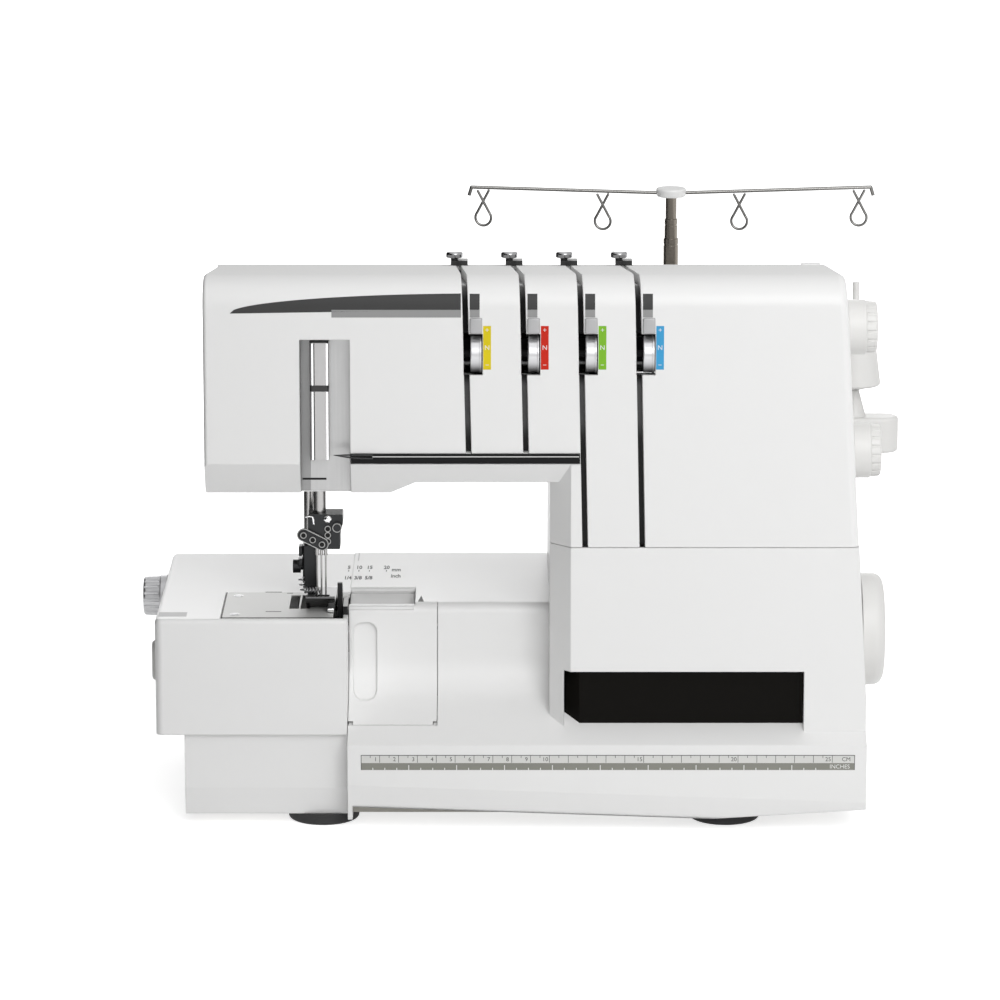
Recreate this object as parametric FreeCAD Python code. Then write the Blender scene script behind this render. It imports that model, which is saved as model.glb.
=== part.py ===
import FreeCAD, Part
import math
import os

# A serger (overlock sewing machine) as separate pieces, in millimetres.
# While it is built, x runs right from the free arm's left wall, y runs back from the housing's
# rear face and z runs up from the table. The finished pieces are then moved together, so that
# the origin lies under the middle of the whole machine, at table height.

Vector = FreeCAD.Vector

# Housing as a whole
housing_depth = 158.0
wall = 2.5
seam = 0.3
edge_round = 2.0
running_gap = 0.05
free_gap = 0.6
overcut = 1.0
match = 0.05

# Free arm and bed
bed_height = 114.0
free_arm_length = 102.0
free_arm_low = 51.0
free_arm_corner = 4.0
free_arm_round = 2.6
free_arm_end_lead = 3.0
arm_base_inset = 15.0
arm_base_step = 3.0
arm_base_crease = 21.0

# Base
base_right = 377.5
base_step = 10.0
base_face_top = 48.0
ledge_slope = 0.5
ledge_sweep = 30.0
bed_setback = 35.0
bed_round = 6.0
crease_left = 26.0
crease_right = 16.5
crease_tuck = 0.2
hem_start = 284.0
hem_rise = 6.6
foot_height = 6.0
foot_radius = 19.0
foot_edge = 2.0
foot_x = (88.4, 303.5)
foot_front = 21.5
foot_rear = 25.0
pan_inset = 20.0
pan_height = 11.0
pan_rim = 2.0

# Column
column_left = 209.4
column_chamfer = 11.0
column_chamfer_depth = 12.0
column_root = 2.0
column_hollow_drop = 8.0
seam_height = 153.0
lean_start = 70.0
side_lean = 0.0586
plinth_left = 217.0
plinth_right = 344.4
plinth_top = 85.6
plinth_setback = 6.0
plinth_chamfer = 8.0
plinth_thick = 3.0

# Head and arm
arm_left = 27.5
arm_low = 187.0
head_low = 180.5
head_reach = 38.6
head_slope = 13.5
band_top = 198.1
band_slope = 0.63
top_front = 299.0
top_fall = 0.136
top_round = 16.0
side_round = 4.5
rear_cover_depth = 8.0
vent_count = 5
vent_pitch = 8.0
vent_rise = 40.0
vent_half_length = 25.0
vent_height = 3.0
vent_round = 1.4
screw_radius = 2.0
screw_head_radius = 4.0
screw_head_face = 3.0
screw_head_height = 2.0
screw_slot_width = 1.0
screw_slot_depth = 1.0
screw_inset = 14.0
screw_low_inset = 12.0
screw_arm_offset = 40.0
screw_column_offset = 50.0
screw_right_inset = 30.0

# Thread path on the front
slot_count = 4
slot_first_x = 166.5
slot_pitch = 30.15
slot_width = 3.0
slot_depth = 7.0
slot_lean_up = 0.022
slot_lean_back = 0.034
slot_reference_z = 206.0
slot_liner_thick = 1.2
slot_liner_gap = 0.1
slot_end_rear = 14.0
rail_height = 5.8
rail_stand = 0.9
rail_depth = 1.5
recess_offset = 8.6
recess_width = 26.5
recess_top = 264.6
recess_depth = 14.0
guard_inset = 5.2
guard_width = 9.9
guard_low = 199.0
guard_top = 262.6
guard_depth = 8.0
guard_round = 1.2
guard_band_z = 237.5
guard_band_height = 3.2

# Tension units and the guides on the top
dial_z = 256.1
dial_radius = 10.5
dial_width = 5.8
dial_stand = 4.0
dial_flange = 0.9
dial_flange_step = 0.7
dial_face_round = 0.6
dial_window_top = 267.7
axle_radius = 2.0
ear_thick = 1.5
ear_half_height = 6.0
ear_lead = 4.0
guide_rear = 12.0
guide_shift = 2.0
guide_sink = 2.0
guide_block_left = 1.8
guide_block_right = 7.3
guide_block_half = 4.0
guide_block_height = 3.2
guide_post_radius = 2.0
cap_radius = 4.7
cap_height = 3.4
cap_edge = 0.6
cap_dome = 1.6
cap_gap = 1.3

# Needles
needle_inset = 15.5
needle_back = 40.0
needle_bar_radius = 3.5
needle_bar_top = 268.0
needle_collar_half = 4.0
needle_collar_thick = 2.5
needle_count = 3
needle_shift = 0.8
needle_pitch = 2.3
needle_radius = 0.45
needle_reach = 1.6
needle_point = 2.0
needle_point_radius = 0.1
needle_shank_radius = 1.0
needle_shank_below = 3.0
needle_shank_above = 9.0

# Needle clamp
clamp_rise = 29.0
clamp_height = 20.8
clamp_foot = 1.8
clamp_half_depth = 7.0
clamp_bore_rise = 10.0
clamp_left = 6.0
clamp_neck_left = 2.4
clamp_right = 12.7
clamp_jaw_left = 5.0
clamp_jaw_right = 11.2
clamp_round = 0.8
yoke_start = (-8.3, 10.0)
yoke_end = (1.5, 5.0)
yoke_radius = 3.3
yoke_thick = 2.0
yoke_screw_count = 3
clamp_screw_radius = 1.5
clamp_screw_stand = 1.2
clamp_screw_x = 4.6
clamp_screw_z = (6.3, 9.7, 13.1)
thumb_screw_place = (9.6, 14.0)
thumb_screw_radius = 2.3
thumb_screw_stand = 2.6

# Presser bar and foot
presser_offset = 6.0
presser_back = 54.0
presser_bar_radius = 3.0
presser_bar_top = 266.0
presser_collar_height = 6.0
presser_collar_thick = 3.5
holder_rise = 5.6
holder_height = 23.4
holder_bore_rise = 9.0
holder_left = 3.6
holder_right = 3.9
holder_half_depth = 5.0
holder_round = 1.2
holder_screw_rise = 11.0
holder_screw_radius = 3.6
holder_screw_length = 4.2
holder_neck_radius = 2.0
holder_neck_length = 1.2
foot_gap = 0.6
foot_left = 1.0
foot_width = 15.6
foot_length = 45.0
foot_heel = 7.0
foot_thick = 2.6
toe_length = 11.0
toe_rise = 6.0
toe_tip = 1.6
toe_tip_round = 0.6
toe_round = 8.0
foot_opening_left = 3.0
foot_opening_right = 5.0
foot_opening_half = 4.0
foot_lug_left = 1.0

# Needle plate and feed
plate_inset = 7.7
plate_width = 59.3
plate_front_back = 3.4
plate_length = 58.6
plate_thick = 1.5
plate_proud = 0.1
plate_corner = 1.0
plate_slot_left = 3.5
plate_slot_right = 5.5
plate_slot_half = 3.0
feed_row_count = 2
feed_pitch = 6.0
feed_row_width = 4.0
feed_row_length = 26.0
feed_row_gap = 0.5
feed_travel = 2.0
feed_offset = 15.5
feed_proud = 0.3
feed_tooth = 2.0
feed_tooth_height = 0.8
feed_tooth_rise_share = 0.7
feed_carrier_drop = 10.0
feed_carrier_thick = 6.3
feed_carrier_left = 2.0
feed_carrier_right = 1.0
feed_carrier_front = 22.0
feed_carrier_back = 61.0

# Looper door
door_width = 47.6
door_pin_radius = 1.2
door_pin_back = 9.5
door_pin_depth = 4.2
door_front_reach = 4.6
door_under = 3.4
knuckle_radius = 2.6
knuckle_room_radius = 5.3
lug_width = 2.0
lug_boss_radius = 2.2
lug_stem_front = 12.0
lug_stem_top = 3.2
lug_stem_low = 6.0
end_room_front = 5.2
end_room_back = 4.0
end_room_above = 3.0
end_room_below = 7.0
grip_inset = 2.5
grip_width = 12.5
grip_rise = 10.4
grip_drop = 10.0
grip_depth = 2.2
grip_round = 5.0
grip_backing_left = 1.5
chute_width = 35.4
chute_back = 73.0
chute_cut = 10.0
chute_lip_round = 2.0
chute_gap = 1.2
chute_rim = 1.2
chute_depth = 6.0
chute_thick = 1.8
chute_front_run = 9.0
chute_back_run = 12.0
chute_round = 7.0

# Loopers and knives
lower_looper_offset = 18.0
lower_looper_drop = 48.0
lower_looper_hub = 7.0
lower_looper_lead = 1.4
lower_looper_thick = 2.4
lower_looper_height = 35.0
lower_looper_reach = 27.0
lower_looper_bend = 10.0
upper_looper_offset = 27.0
upper_looper_drop = 30.0
upper_looper_hub = 6.5
upper_looper_lead = 5.5
upper_looper_thick = 2.5
upper_looper_height = 16.6
upper_looper_reach = 24.0
upper_looper_bend = 12.0
looper_root = 5.0
looper_tip = 1.7
looper_arm_width = 4.0
looper_round = 5.0
looper_pin_radius = 3.0
looper_pin_tail = 6.0
looper_pin_lead = 0.4
knife_inset = 6.0
knife_thick = 2.6
knife_pin_back = 66.0
knife_pin_drop = 28.0
knife_pin_radius = 2.5
knife_hub_radius = 6.0
knife_hub_left = 0.4
knife_hub_right = 2.4
knife_lead = 6.0
knife_rise = 12.0
knife_blade_length = 12.0
knife_blade_drop = 7.0
knife_arm_width = 9.0
lower_knife_lead = 8.0
lower_knife_drop = 0.4
lower_knife_seat = 10.5
knife_rest_drop = 8.4

# Shafts, crank and pulleys
main_shaft_back = 74.0
main_shaft_drop = 23.0
main_shaft_radius = 6.0
main_shaft_end = 3.0
upper_shaft_z = 245.0
upper_shaft_radius = 5.0
upper_shaft_end = 6.0
crank_throw = 13.5
crank_drop = 3.5
crank_offset = 16.5
crank_thick = 6.0
crank_rim = 3.5
crank_pin_radius = 2.9
rod_thick = 4.0
rod_gap = 5.0
rod_length = 34.0
rod_half_width = 3.0
rod_low_eye = 5.5
rod_top_eye = 6.0
rod_stud_radius = 2.5
rod_top_bore = 3.0
bush_thick = 5.0
bush_stand = 1.0
timing_radius = 15.0
timing_offset = 58.6
pulley_width = 12.0
pulley_groove = 2.0
pulley_rim = 3.0
drive_radius = 27.0
drive_inset = 45.5
belt_thick = 2.0
belt_margin = 1.0
belt_gap = 0.2

# Motor
motor_pulley_radius = 8.0
motor_radius = 24.0
motor_length = 60.0
motor_rear = 38.0
motor_z = 52.0
motor_shaft_radius = 3.0
motor_shaft_gap = 2.0
motor_shaft_end = 2.0
motor_edge = 3.0
motor_bell_radius = 9.0
motor_bell_length = 5.0
mount_gap = 6.0
mount_thick = 4.0
mount_margin = 3.0
mount_rise = 4.0

# Chassis
chassis_left = 30.0
chassis_rear = 12.0
chassis_floor = 18.0
floor_thick = 5.0
floor_lead = 28.0
web_thick = 7.0
web_lead = 14.0
web_rise = 17.0
left_web_gap = 3.4
left_web_drop = 4.0
column_web_offset = 30.6
right_web_inset = 26.5
head_web_offset = 25.5
spine_lead = 14.0
spine_thick = 8.0
spine_low = 9.0
spine_rise = 13.0
bearing_height = 8.0
lower_bearing_drop = 1.0
upper_bearing_rise = 7.0
bearing_left = 8.0
bearing_right = 6.8
bearing_front = 8.0
bearing_back = 7.0
bearing_arm_lead = 4.0
bearing_arm_thick = 8.0
needle_bush_thick = 2.5
presser_bush_thick = 2.0
bar_bush_stand = 0.5
bracket_lead = 12.0
bracket_thick = 7.0
bracket_reach = 7.0
bracket_rise = 30.0
bracket_arm = 5.0
knife_lug_half = 6.0
feed_shelf_lead = 50.0
feed_shelf_depth = 12.0
feed_shelf_left = 4.0
feed_shelf_gap = 0.2
feed_shelf_thick = 7.5
boss_radius = 6.0
boss_left_inset = 18.0
boss_right_inset = 21.0
boss_front_lead = 20.0
boss_rear_inset = 10.0
bar_hole_left = 8.0
bar_hole_right = 17.0
bar_hole_front = 10.0
bar_hole_back = 8.0

# Handwheel
wheel_radius = 30.5
wheel_reach = 13.7
wheel_gap = 0.9
wheel_rim = 5.0
wheel_rim_gap = 0.3
wheel_dish = 4.0
wheel_hub_radius = 13.0
wheel_round = 6.0
wheel_face_rim = 6.0
wheel_face_depth = 2.4
wheel_boss_radius = 9.0
wheel_boss_depth = 0.6
wheel_bore_end = 4.0

# Dials and button on the sides
stitch_dial_back = 50.0
stitch_dial_z = 262.3
stitch_dial_radius = 14.7
stitch_dial_reach = 6.0
feed_dial_z = 195.3
feed_dial_radius = 14.8
feed_dial_reach = 9.0
right_skirt_share = 0.62
cut_dial_rear = 38.0
cut_dial_drop = 15.5
cut_dial_radius = 11.7
cut_dial_reach = 13.8
left_skirt_share = 0.3
dial_stem_radius = 4.0
dial_stem_cover = 4.0
dial_notch_count = 18
dial_notch_radius = 0.9
dial_step = 0.6
dial_taper = 0.5
dial_edge = 1.6
dial_skirt_edge = 0.5
button_back = 30.0
button_drop = 29.5
button_height = 22.0
button_width = 9.0
button_stand = 3.4
button_root = 2.0
button_round_share = 0.6
button_flange = 2.0
button_flange_thick = 1.6

# Power inlet and switch
inlet_rear = 12.0
inlet_width = 22.0
inlet_low = 24.0
inlet_top = 66.0
inlet_depth = 13.6
inlet_gap = 0.1
inlet_flange = 0.8
inlet_flange_rim = 2.0
socket_rise = 3.0
socket_width = 14.0
socket_height = 18.0
socket_depth = 11.5
socket_round = 3.0
socket_pin_radius = 1.2
socket_pin_length = 5.5
socket_pin_offset = 3.4
rocker_width = 15.2
rocker_height = 11.2
rocker_stand = 2.0
rocker_top_inset = 4.5
rocker_axle_depth = 3.5
rocker_axle_radius = 1.2
rocker_side_gap = 0.4
rocker_end_gap = 1.5
rocker_thick = 5.5
rocker_keel = 9.0
rocker_round = 1.0
rocker_dip = 1.2

# Presser lifter
lifter_offset = 15.5
lifter_z = 215.6
lifter_radius = 2.5
lifter_cam_radius = 5.0
lifter_cam_throw = 1.0
lifter_cam_half = 4.0
lifter_reach = 48.0
lifter_drop = 18.0
lifter_gap = 1.0
lifter_thick = 6.0
lifter_half_width = 4.0
lifter_end_radius = 6.0

# Spool beam and cones
beam_gap = 17.0
beam_depth = 17.0
beam_low = 167.0
beam_height = 20.3
beam_half_length = 128.5
beam_end_inset = 0.1
beam_arm_offset = 50.0
beam_arm_width = 16.0
beam_arm_sink = 4.0
beam_arm_inset = 2.0
beam_pad = 6.0
beam_pad_thick = 3.0
pole_x = 278.2
pin_offsets = (37.8, 103.7)
pin_radius = 1.9
pin_top = 263.3
pin_flare_radius = 6.6
pin_flare_height = 15.0
pin_flare_neck = 0.6
pin_flange_z = 203.0
pin_flange_thick = 2.0
pin_flange_rim = 4.0
cone_radius = 14.5
cone_top_radius = 8.9
cone_top = 250.0
cone_wall = 1.6
cone_bore_gap = 0.3
cone_lip = 1.0
cone_roof = 4.0

# Pole and thread guide
pole_outer_radius = 4.2
pole_outer_top = 288.0
pole_outer_low = 152.0
pole_middle_radius = 3.65
pole_middle_top = 299.0
pole_middle_low = 171.0
pole_inner_radius = 3.1
pole_inner_top = 314.6
pole_inner_low = 185.0
pole_slip = 0.15
pole_ring_drop = 4.0
pole_ring_height = 1.2
pole_ring_depth = 0.2
hub_radius = 8.7
hub_low = 311.6
hub_top = 316.4
hub_taper = 0.8
hub_edge = 1.2
wire_radius = 1.0
wire_height = 313.4
wire_start = 4.6
wire_half_length = 111.0
wire_rise = 3.4
hook_drop = 4.6
hook_lean = 1.4
eyelet_offsets = (38.0, 104.5)
eyelet_radius = 4.4
eyelet_drop = 16.0
eyelet_wire = 0.75
eyelet_gap = 0.2
eyelet_spread = 3.0
eyelet_twist = 1.1
eyelet_open = 40.0

# Places worked out from the sizes above
front_y = -housing_depth
base_front_y = front_y - base_step
bed_front_y = front_y + bed_setback
cover_back_y = -rear_cover_depth
needle_x = free_arm_length - needle_inset
needle_y = front_y + needle_back
needle_tip_z = bed_height - needle_reach
clamp_low = bed_height + clamp_rise
clamp_top = clamp_low + clamp_height
presser_x = needle_x - presser_offset
presser_y = front_y + presser_back
holder_low = bed_height + holder_rise
holder_top = holder_low + holder_height
plate_right = free_arm_length - plate_inset
plate_left = plate_right - plate_width
feed_row_left = needle_x - feed_offset
looper_door_right = free_arm_length + door_width
chute_right = free_arm_length + chute_width
chute_edge_y = front_y + chute_back
lower_looper_x = free_arm_length + lower_looper_offset
lower_looper_z = bed_height - lower_looper_drop
upper_looper_x = free_arm_length + upper_looper_offset
upper_looper_z = bed_height - upper_looper_drop
knife_x = free_arm_length - knife_inset
knife_pin_y = front_y + knife_pin_back
knife_pin_z = bed_height - knife_pin_drop
main_shaft_y = front_y + main_shaft_back
main_shaft_z = bed_height - main_shaft_drop
motor_y = -motor_rear
left_web_x = looper_door_right + left_web_gap
main_shaft_left = left_web_x - main_shaft_end
column_web_x = column_left + column_web_offset
right_web_x = base_right - right_web_inset
head_web_x = needle_x + head_web_offset
crank_x = needle_x + crank_offset
timing_x = column_left + timing_offset
drive_x = base_right - drive_inset
head_right = needle_x + head_reach
head_slope_end = head_right + head_slope
recess_left = needle_x - recess_offset
recess_right = recess_left + recess_width
guard_left = recess_left + guard_inset
guide_y = -guide_rear
stitch_dial_y = front_y + stitch_dial_back
stitch_dial_right = base_right + stitch_dial_reach
feed_dial_right = base_right + feed_dial_reach
wheel_right = base_right + wheel_reach
cut_dial_left = -cut_dial_reach
cut_dial_y = -cut_dial_rear
cut_dial_z = bed_height - cut_dial_drop
button_y = front_y + button_back
button_z = bed_height - button_drop
lifter_x = needle_x - lifter_offset
beam_y = beam_gap + beam_depth / 2
roof = 2 * top_front
far = base_right + roof


def ledge_z(y):
    """Height of the base's sloped ledge at a depth."""
    return base_face_top + ledge_slope * (y - base_front_y)


door_pin_y = front_y + door_pin_back
door_pin_z = ledge_z(door_pin_y) - door_pin_depth


def block(x, y, z):
    """Box between three pairs of limits."""
    return Part.makeBox(x[1] - x[0], y[1] - y[0], z[1] - z[0], Vector(x[0], y[0], z[0]))


def rod_x(x, y, z, radius):
    """Round bar along x between a pair of limits."""
    return Part.makeCylinder(radius, x[1] - x[0], Vector(x[0], y, z), Vector(1, 0, 0))


def rod_y(x, y, z, radius):
    """Round bar along y between a pair of limits."""
    return Part.makeCylinder(radius, y[1] - y[0], Vector(x, y[0], z), Vector(0, 1, 0))


def rod_z(x, y, z, radius):
    """Round bar along z between a pair of limits."""
    return Part.makeCylinder(radius, z[1] - z[0], Vector(x, y, z[0]), Vector(0, 0, 1))


def rod_between(start, end, radius):
    """Round bar from one point to another."""
    along = end - start
    return Part.makeCylinder(radius, along.Length, start, along)


def joined(shapes):
    """One solid from touching shapes, with its split faces merged."""
    first = shapes[0]
    return first.fuse(shapes[1:]).removeSplitter()


def grown(limits, margin):
    """Pair of limits moved apart by a margin at both ends."""
    return limits[0] - margin, limits[1] + margin


def about(middle, half):
    """Pair of limits around a middle."""
    return middle - half, middle + half


def outline(corners, to_point):
    """Closed wire through corners (u, v) or (u, v, radius), with each radius as a tangent arc."""
    points = [Vector(corner[0], corner[1], 0) for corner in corners]
    stretches = []
    for index, corner in enumerate(corners):
        here = points[index]
        radius = corner[2] if len(corner) > 2 else 0.0
        if radius == 0.0:
            stretches.append((here, here, here))
            continue
        before = (points[index - 1] - here).normalize()
        after = (points[(index + 1) % len(points)] - here).normalize()
        half = before.getAngle(after) / 2
        reach = radius / math.tan(half)
        middle_way = (before + after).normalize()
        bulge = here + middle_way * (radius / math.sin(half) - radius)
        stretches.append((here + before * reach, bulge, here + after * reach))
    edges = []
    for index, (start, bulge, end) in enumerate(stretches):
        if (end - start).Length > 1e-6:
            arc = Part.Arc(to_point(start), to_point(bulge), to_point(end))
            edges.append(arc.toShape())
        next_start = stretches[(index + 1) % len(stretches)][0]
        if (next_start - end).Length > 1e-6:
            edges.append(Part.makeLine(to_point(end), to_point(next_start)))
    return Part.Wire(edges)


def extruded(wire, inset, along):
    """Solid from a closed wire, drawn in by an inset, along a vector."""
    if inset:
        wire = wire.makeOffset2D(-inset, 2)
    return Part.Face(wire).extrude(along)


def prism_x(corners, x, inset=0.0):
    """Solid with an outline in y and z, between two x limits."""
    wire = outline(corners, lambda p: Vector(x[0], p.x, p.y))
    return extruded(wire, inset, Vector(x[1] - x[0], 0, 0))


def prism_y(corners, y, inset=0.0):
    """Solid with an outline in x and z, between two y limits."""
    wire = outline(corners, lambda p: Vector(p.x, y[0], p.y))
    return extruded(wire, inset, Vector(0, y[1] - y[0], 0))


def prism_z(corners, z, inset=0.0):
    """Solid with an outline in x and y, between two z limits."""
    wire = outline(corners, lambda p: Vector(p.x, p.y, z[0]))
    return extruded(wire, inset, Vector(0, 0, z[1] - z[0]))


def rounded_box(u, v, radius):
    """Corners of a rectangle with equal rounds."""
    return [(u[0], v[0], radius), (u[1], v[0], radius), (u[1], v[1], radius), (u[0], v[1], radius)]


def turned_x(profile, y, z):
    """Solid of revolution about a line along x, from corners (x, radius)."""
    wire = outline(profile, lambda p: Vector(p.x, y, z + p.y))
    return Part.Face(wire).revolve(Vector(0, y, z), Vector(1, 0, 0), 360)


def turned_z(profile, x, y):
    """Solid of revolution about a line along z, from corners (radius, z)."""
    wire = outline(profile, lambda p: Vector(x + p.x, y, p.y))
    return Part.Face(wire).revolve(Vector(x, y, 0), Vector(0, 0, 1), 360)


def edges_where(shape, test):
    """Edges whose middle point passes a test."""
    chosen = []
    for edge in shape.Edges:
        middle = edge.valueAt((edge.FirstParameter + edge.LastParameter) / 2)
        if test(middle):
            chosen.append(edge)
    return chosen


def right_wall_x(z):
    """Outer face of the leaning right wall at a height."""
    return base_right - side_lean * max(0.0, z - lean_start)


def top_z(y):
    """Height of the sloped top at a depth."""
    return top_front - top_fall * (y - front_y)


def side_lean_prism(inset):
    """Everything left of the leaning right wall."""
    corners = [(-far, -far), (base_right - inset, -far), (base_right - inset, lean_start),
               (right_wall_x(roof) - inset, roof), (-far, roof)]
    return prism_y(corners, (-far, far))


def base_prism(x, inset, low):
    """Base section with its ledge, sweep and bed, between two x limits."""
    corners = [(0, low), (base_front_y, low), (base_front_y, base_face_top),
               (bed_front_y, ledge_z(bed_front_y), ledge_sweep), (bed_front_y, bed_height, bed_round),
               (0, bed_height)]
    return prism_x(corners, x, inset)


def column_prism(inset, z, back):
    """Column section with its chamfered front left edge, between two heights."""
    corners = [(column_left, back), (column_left, front_y + column_chamfer_depth),
               (column_left + column_chamfer, front_y), (far, front_y), (far, back)]
    return prism_z(corners, z, inset)


def arm_prism(inset):
    """Head and arm with the sloped band under the front face, open to the back."""
    drop = band_top - head_low
    section = [(front_y, roof), (front_y, band_top), (front_y + drop * band_slope, head_low),
               (far, head_low), (far, roof)]
    arm = prism_x(section, (arm_left + inset, far), inset)
    rise = [(head_right, head_low - wall), (head_right, head_low + inset),
            (head_slope_end, arm_low + inset), (far, arm_low + inset), (far, head_low - wall)]
    return arm.cut(prism_y(rise, (-far, far)))


def top_prism(inset):
    """Everything under the sloped top and behind the front face."""
    corners = [(front_y, -far), (front_y, top_front, top_round), (far, top_z(far)), (far, -far)]
    return prism_x(corners, (-far, far), inset)


def arm_body(inset, column_low):
    """Head, arm and upper column as one block, drawn in by an inset and open to the back."""
    body = arm_prism(inset).fuse(column_prism(inset, (column_low, roof), far))
    return body.common(side_lean_prism(inset)).common(top_prism(inset))


def slot_x(index, y, z):
    """Middle of a thread slot at a depth and height."""
    lean = slot_lean_up * (z - slot_reference_z) + slot_lean_back * (y - front_y)
    return slot_first_x + index * slot_pitch - lean


def slot_low(index):
    """Lower end of a slot: the left ones end on the rail, the right ones run out of the cover."""
    if slot_x(index, front_y, band_top) < column_left:
        return band_top + rail_height
    return seam_height - wall


def slot_slab(index, width, low):
    """Leaning slab along a thread slot."""
    ends = [(front_y - wall, low), (-slot_end_rear, low), (-slot_end_rear, roof), (front_y - wall, roof)]
    points = [Vector(slot_x(index, y, z) - width / 2, y, z) for y, z in ends]
    face = Part.Face(Part.makePolygon(points + points[:1]))
    return face.extrude(Vector(width, 0, 0))


def dial_left(index):
    """Left side of a tension dial, just right of its slot."""
    return slot_x(index, front_y, dial_z) + slot_width / 2 + free_gap


def dial_y():
    """Depth of the tension dials' axle."""
    return front_y + dial_radius - dial_stand


def ear_x(index):
    """Left sides of the two ears that carry a tension dial's axle."""
    left = slot_x(index, front_y, dial_z) - slot_width / 2 - wall - free_gap - ear_thick
    return left, dial_left(index) + dial_width + free_gap


def dial_pocket(index):
    """Room behind the front wall for a tension dial and its ears."""
    left, right = ear_x(index)
    x = (left - free_gap, right + ear_thick + free_gap)
    z = about(dial_z, dial_radius + free_gap)
    return block(x, (front_y + wall, front_y + wall + 2 * dial_radius), z)


def dial_window(index):
    """Opening in the front face for a tension dial."""
    left = slot_x(index, front_y, dial_z) - slot_width / 2
    right = dial_left(index) + dial_width + free_gap
    inner_reach = dial_radius - dial_stand - wall
    low = dial_z - math.sqrt(dial_radius ** 2 - inner_reach ** 2) - free_gap
    return block((left, right), (front_y - wall, front_y + 2 * wall), (low, dial_window_top))


def front_cover():
    """Hollow cover of head, arm and upper column, with slots, windows and take-up recess."""
    low = seam_height + seam
    body = arm_body(0.0, low).common(block((-far, far), (-far, cover_back_y), (-far, far)))
    body = body.removeSplitter()

    def in_front(p):
        return p.y < cover_back_y - overcut

    def on_right(p):
        return abs(p.x - right_wall_x(p.z)) < match and in_front(p) and p.z > low + overcut

    def on_left(p):
        return abs(p.x - arm_left) < match and in_front(p) and p.z > band_top + overcut

    body = body.makeFillet(side_round, edges_where(body, on_right))
    body = body.makeFillet(edge_round, edges_where(body, on_left))
    hollow = arm_body(wall, low - wall)
    rib_floor = top_prism(slot_depth + wall)
    groove_floor = top_prism(slot_depth)
    for index in range(slot_count):
        rib = slot_slab(index, slot_width + 2 * wall, slot_low(index) - wall)
        hollow = hollow.cut(rib.cut(rib_floor))
    surround = block((recess_left - wall, recess_right + wall),
                     (front_y - wall, front_y + recess_depth + wall),
                     (head_low - wall, recess_top + wall))
    hollow = hollow.cut(surround)
    cover = body.cut(hollow)
    for index in range(slot_count):
        groove = slot_slab(index, slot_width, slot_low(index)).cut(groove_floor)
        cover = cover.cut(groove).cut(dial_window(index)).cut(dial_pocket(index))
    recess = block((recess_left, recess_right), (front_y - wall, front_y + recess_depth),
                   (head_low - wall, recess_top))
    bar_hole = block((presser_x - bar_hole_left, needle_x + bar_hole_right),
                     (needle_y - bar_hole_front, presser_y + bar_hole_back),
                     (head_low - wall, head_low + 2 * wall))
    rail_notch = block((recess_right - overcut, rail_right() + overcut),
                       (front_y - wall, front_y + rail_depth),
                       (band_top + seam, band_top + rail_height))
    cover = cover.cut(recess).cut(bar_hole).cut(rail_notch)
    for stem in (stitch_stem(running_gap), feed_stem(running_gap)):
        cover = cover.cut(stem)
    return cover


def rail_right():
    """Right end of the thread rail, at the first slot that runs down the column."""
    first_long = next(index for index in range(slot_count) if slot_low(index) < band_top)
    return slot_x(first_long, front_y, band_top + rail_height) - slot_width / 2 - seam


def rear_cover():
    """Shallow tray that closes the back of head, arm and upper column."""
    low = seam_height + seam
    behind = block((-far, far), (cover_back_y + seam, 0), (-far, far))
    body = arm_body(0.0, low).common(behind).removeSplitter()

    def on_right_top(p):
        return p.x > right_wall_x(p.z) - match and p.z > top_z(p.y) - match

    body = body.makeFillet(side_round, edges_where(body, on_right_top))
    hollow = arm_body(wall, low - wall).common(block((-far, far), (-far, -wall), (-far, far)))
    cover = body.cut(hollow)
    cover = cover.cut(rod_y(lifter_x, (-far, far), lifter_z, lifter_radius + running_gap))
    for row in range(vent_count):
        z = seam_height + vent_rise + row * vent_pitch
        slot = rounded_box(about(pole_x, vent_half_length), (z, z + vent_height), vent_round)
        cover = cover.cut(prism_y(slot, (-far, far)))
    for x, z in screw_places():
        cover = cover.cut(rod_y(x, (-far, far), z, screw_radius))
    return cover


def screw_places():
    """Screws around the edge of the rear cover."""
    high = top_z(0) - screw_inset
    low = seam_height + screw_low_inset
    left = arm_left + screw_inset
    right = base_right - screw_right_inset
    return [(left, high), (column_left - screw_arm_offset, high), (right, high),
            (left, arm_low + screw_low_inset), (column_left + screw_column_offset, low), (right, low)]


def cover_screws():
    """Pan head screws in the rear cover."""
    screws = []
    for x, z in screw_places():
        head = Part.makeCone(screw_head_radius, screw_head_face, screw_head_height, Vector(x, 0, z),
                             Vector(0, 1, 0))
        shank = rod_y(x, (-rear_cover_depth, 0), z, screw_radius)
        slot = block(about(x, screw_head_face), (screw_head_height - screw_slot_depth, far),
                     about(z, screw_slot_width / 2))
        screws.append(head.fuse(shank).cut(slot))
    return Part.makeCompound(screws)


def slot_liners():
    """Dark strips on the floors of the thread slots, one above and one below each dial."""
    high = top_prism(slot_depth - slot_liner_thick)
    floor = top_prism(slot_depth)
    strips = []
    for index in range(slot_count):
        low = max(slot_low(index), seam_height) + seam
        slab = slot_slab(index, slot_width - 2 * slot_liner_gap, low)
        strip = slab.common(high).cut(floor).cut(dial_pocket(index))
        strips.extend(strip.Solids)
    return Part.makeCompound(strips)


def thread_rail():
    """Black rail along the lower edge of the arm."""
    return block((recess_right + seam, rail_right()), (front_y - rail_stand, front_y + rail_depth),
                 (band_top + 2 * seam, band_top + rail_height - seam))


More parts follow.
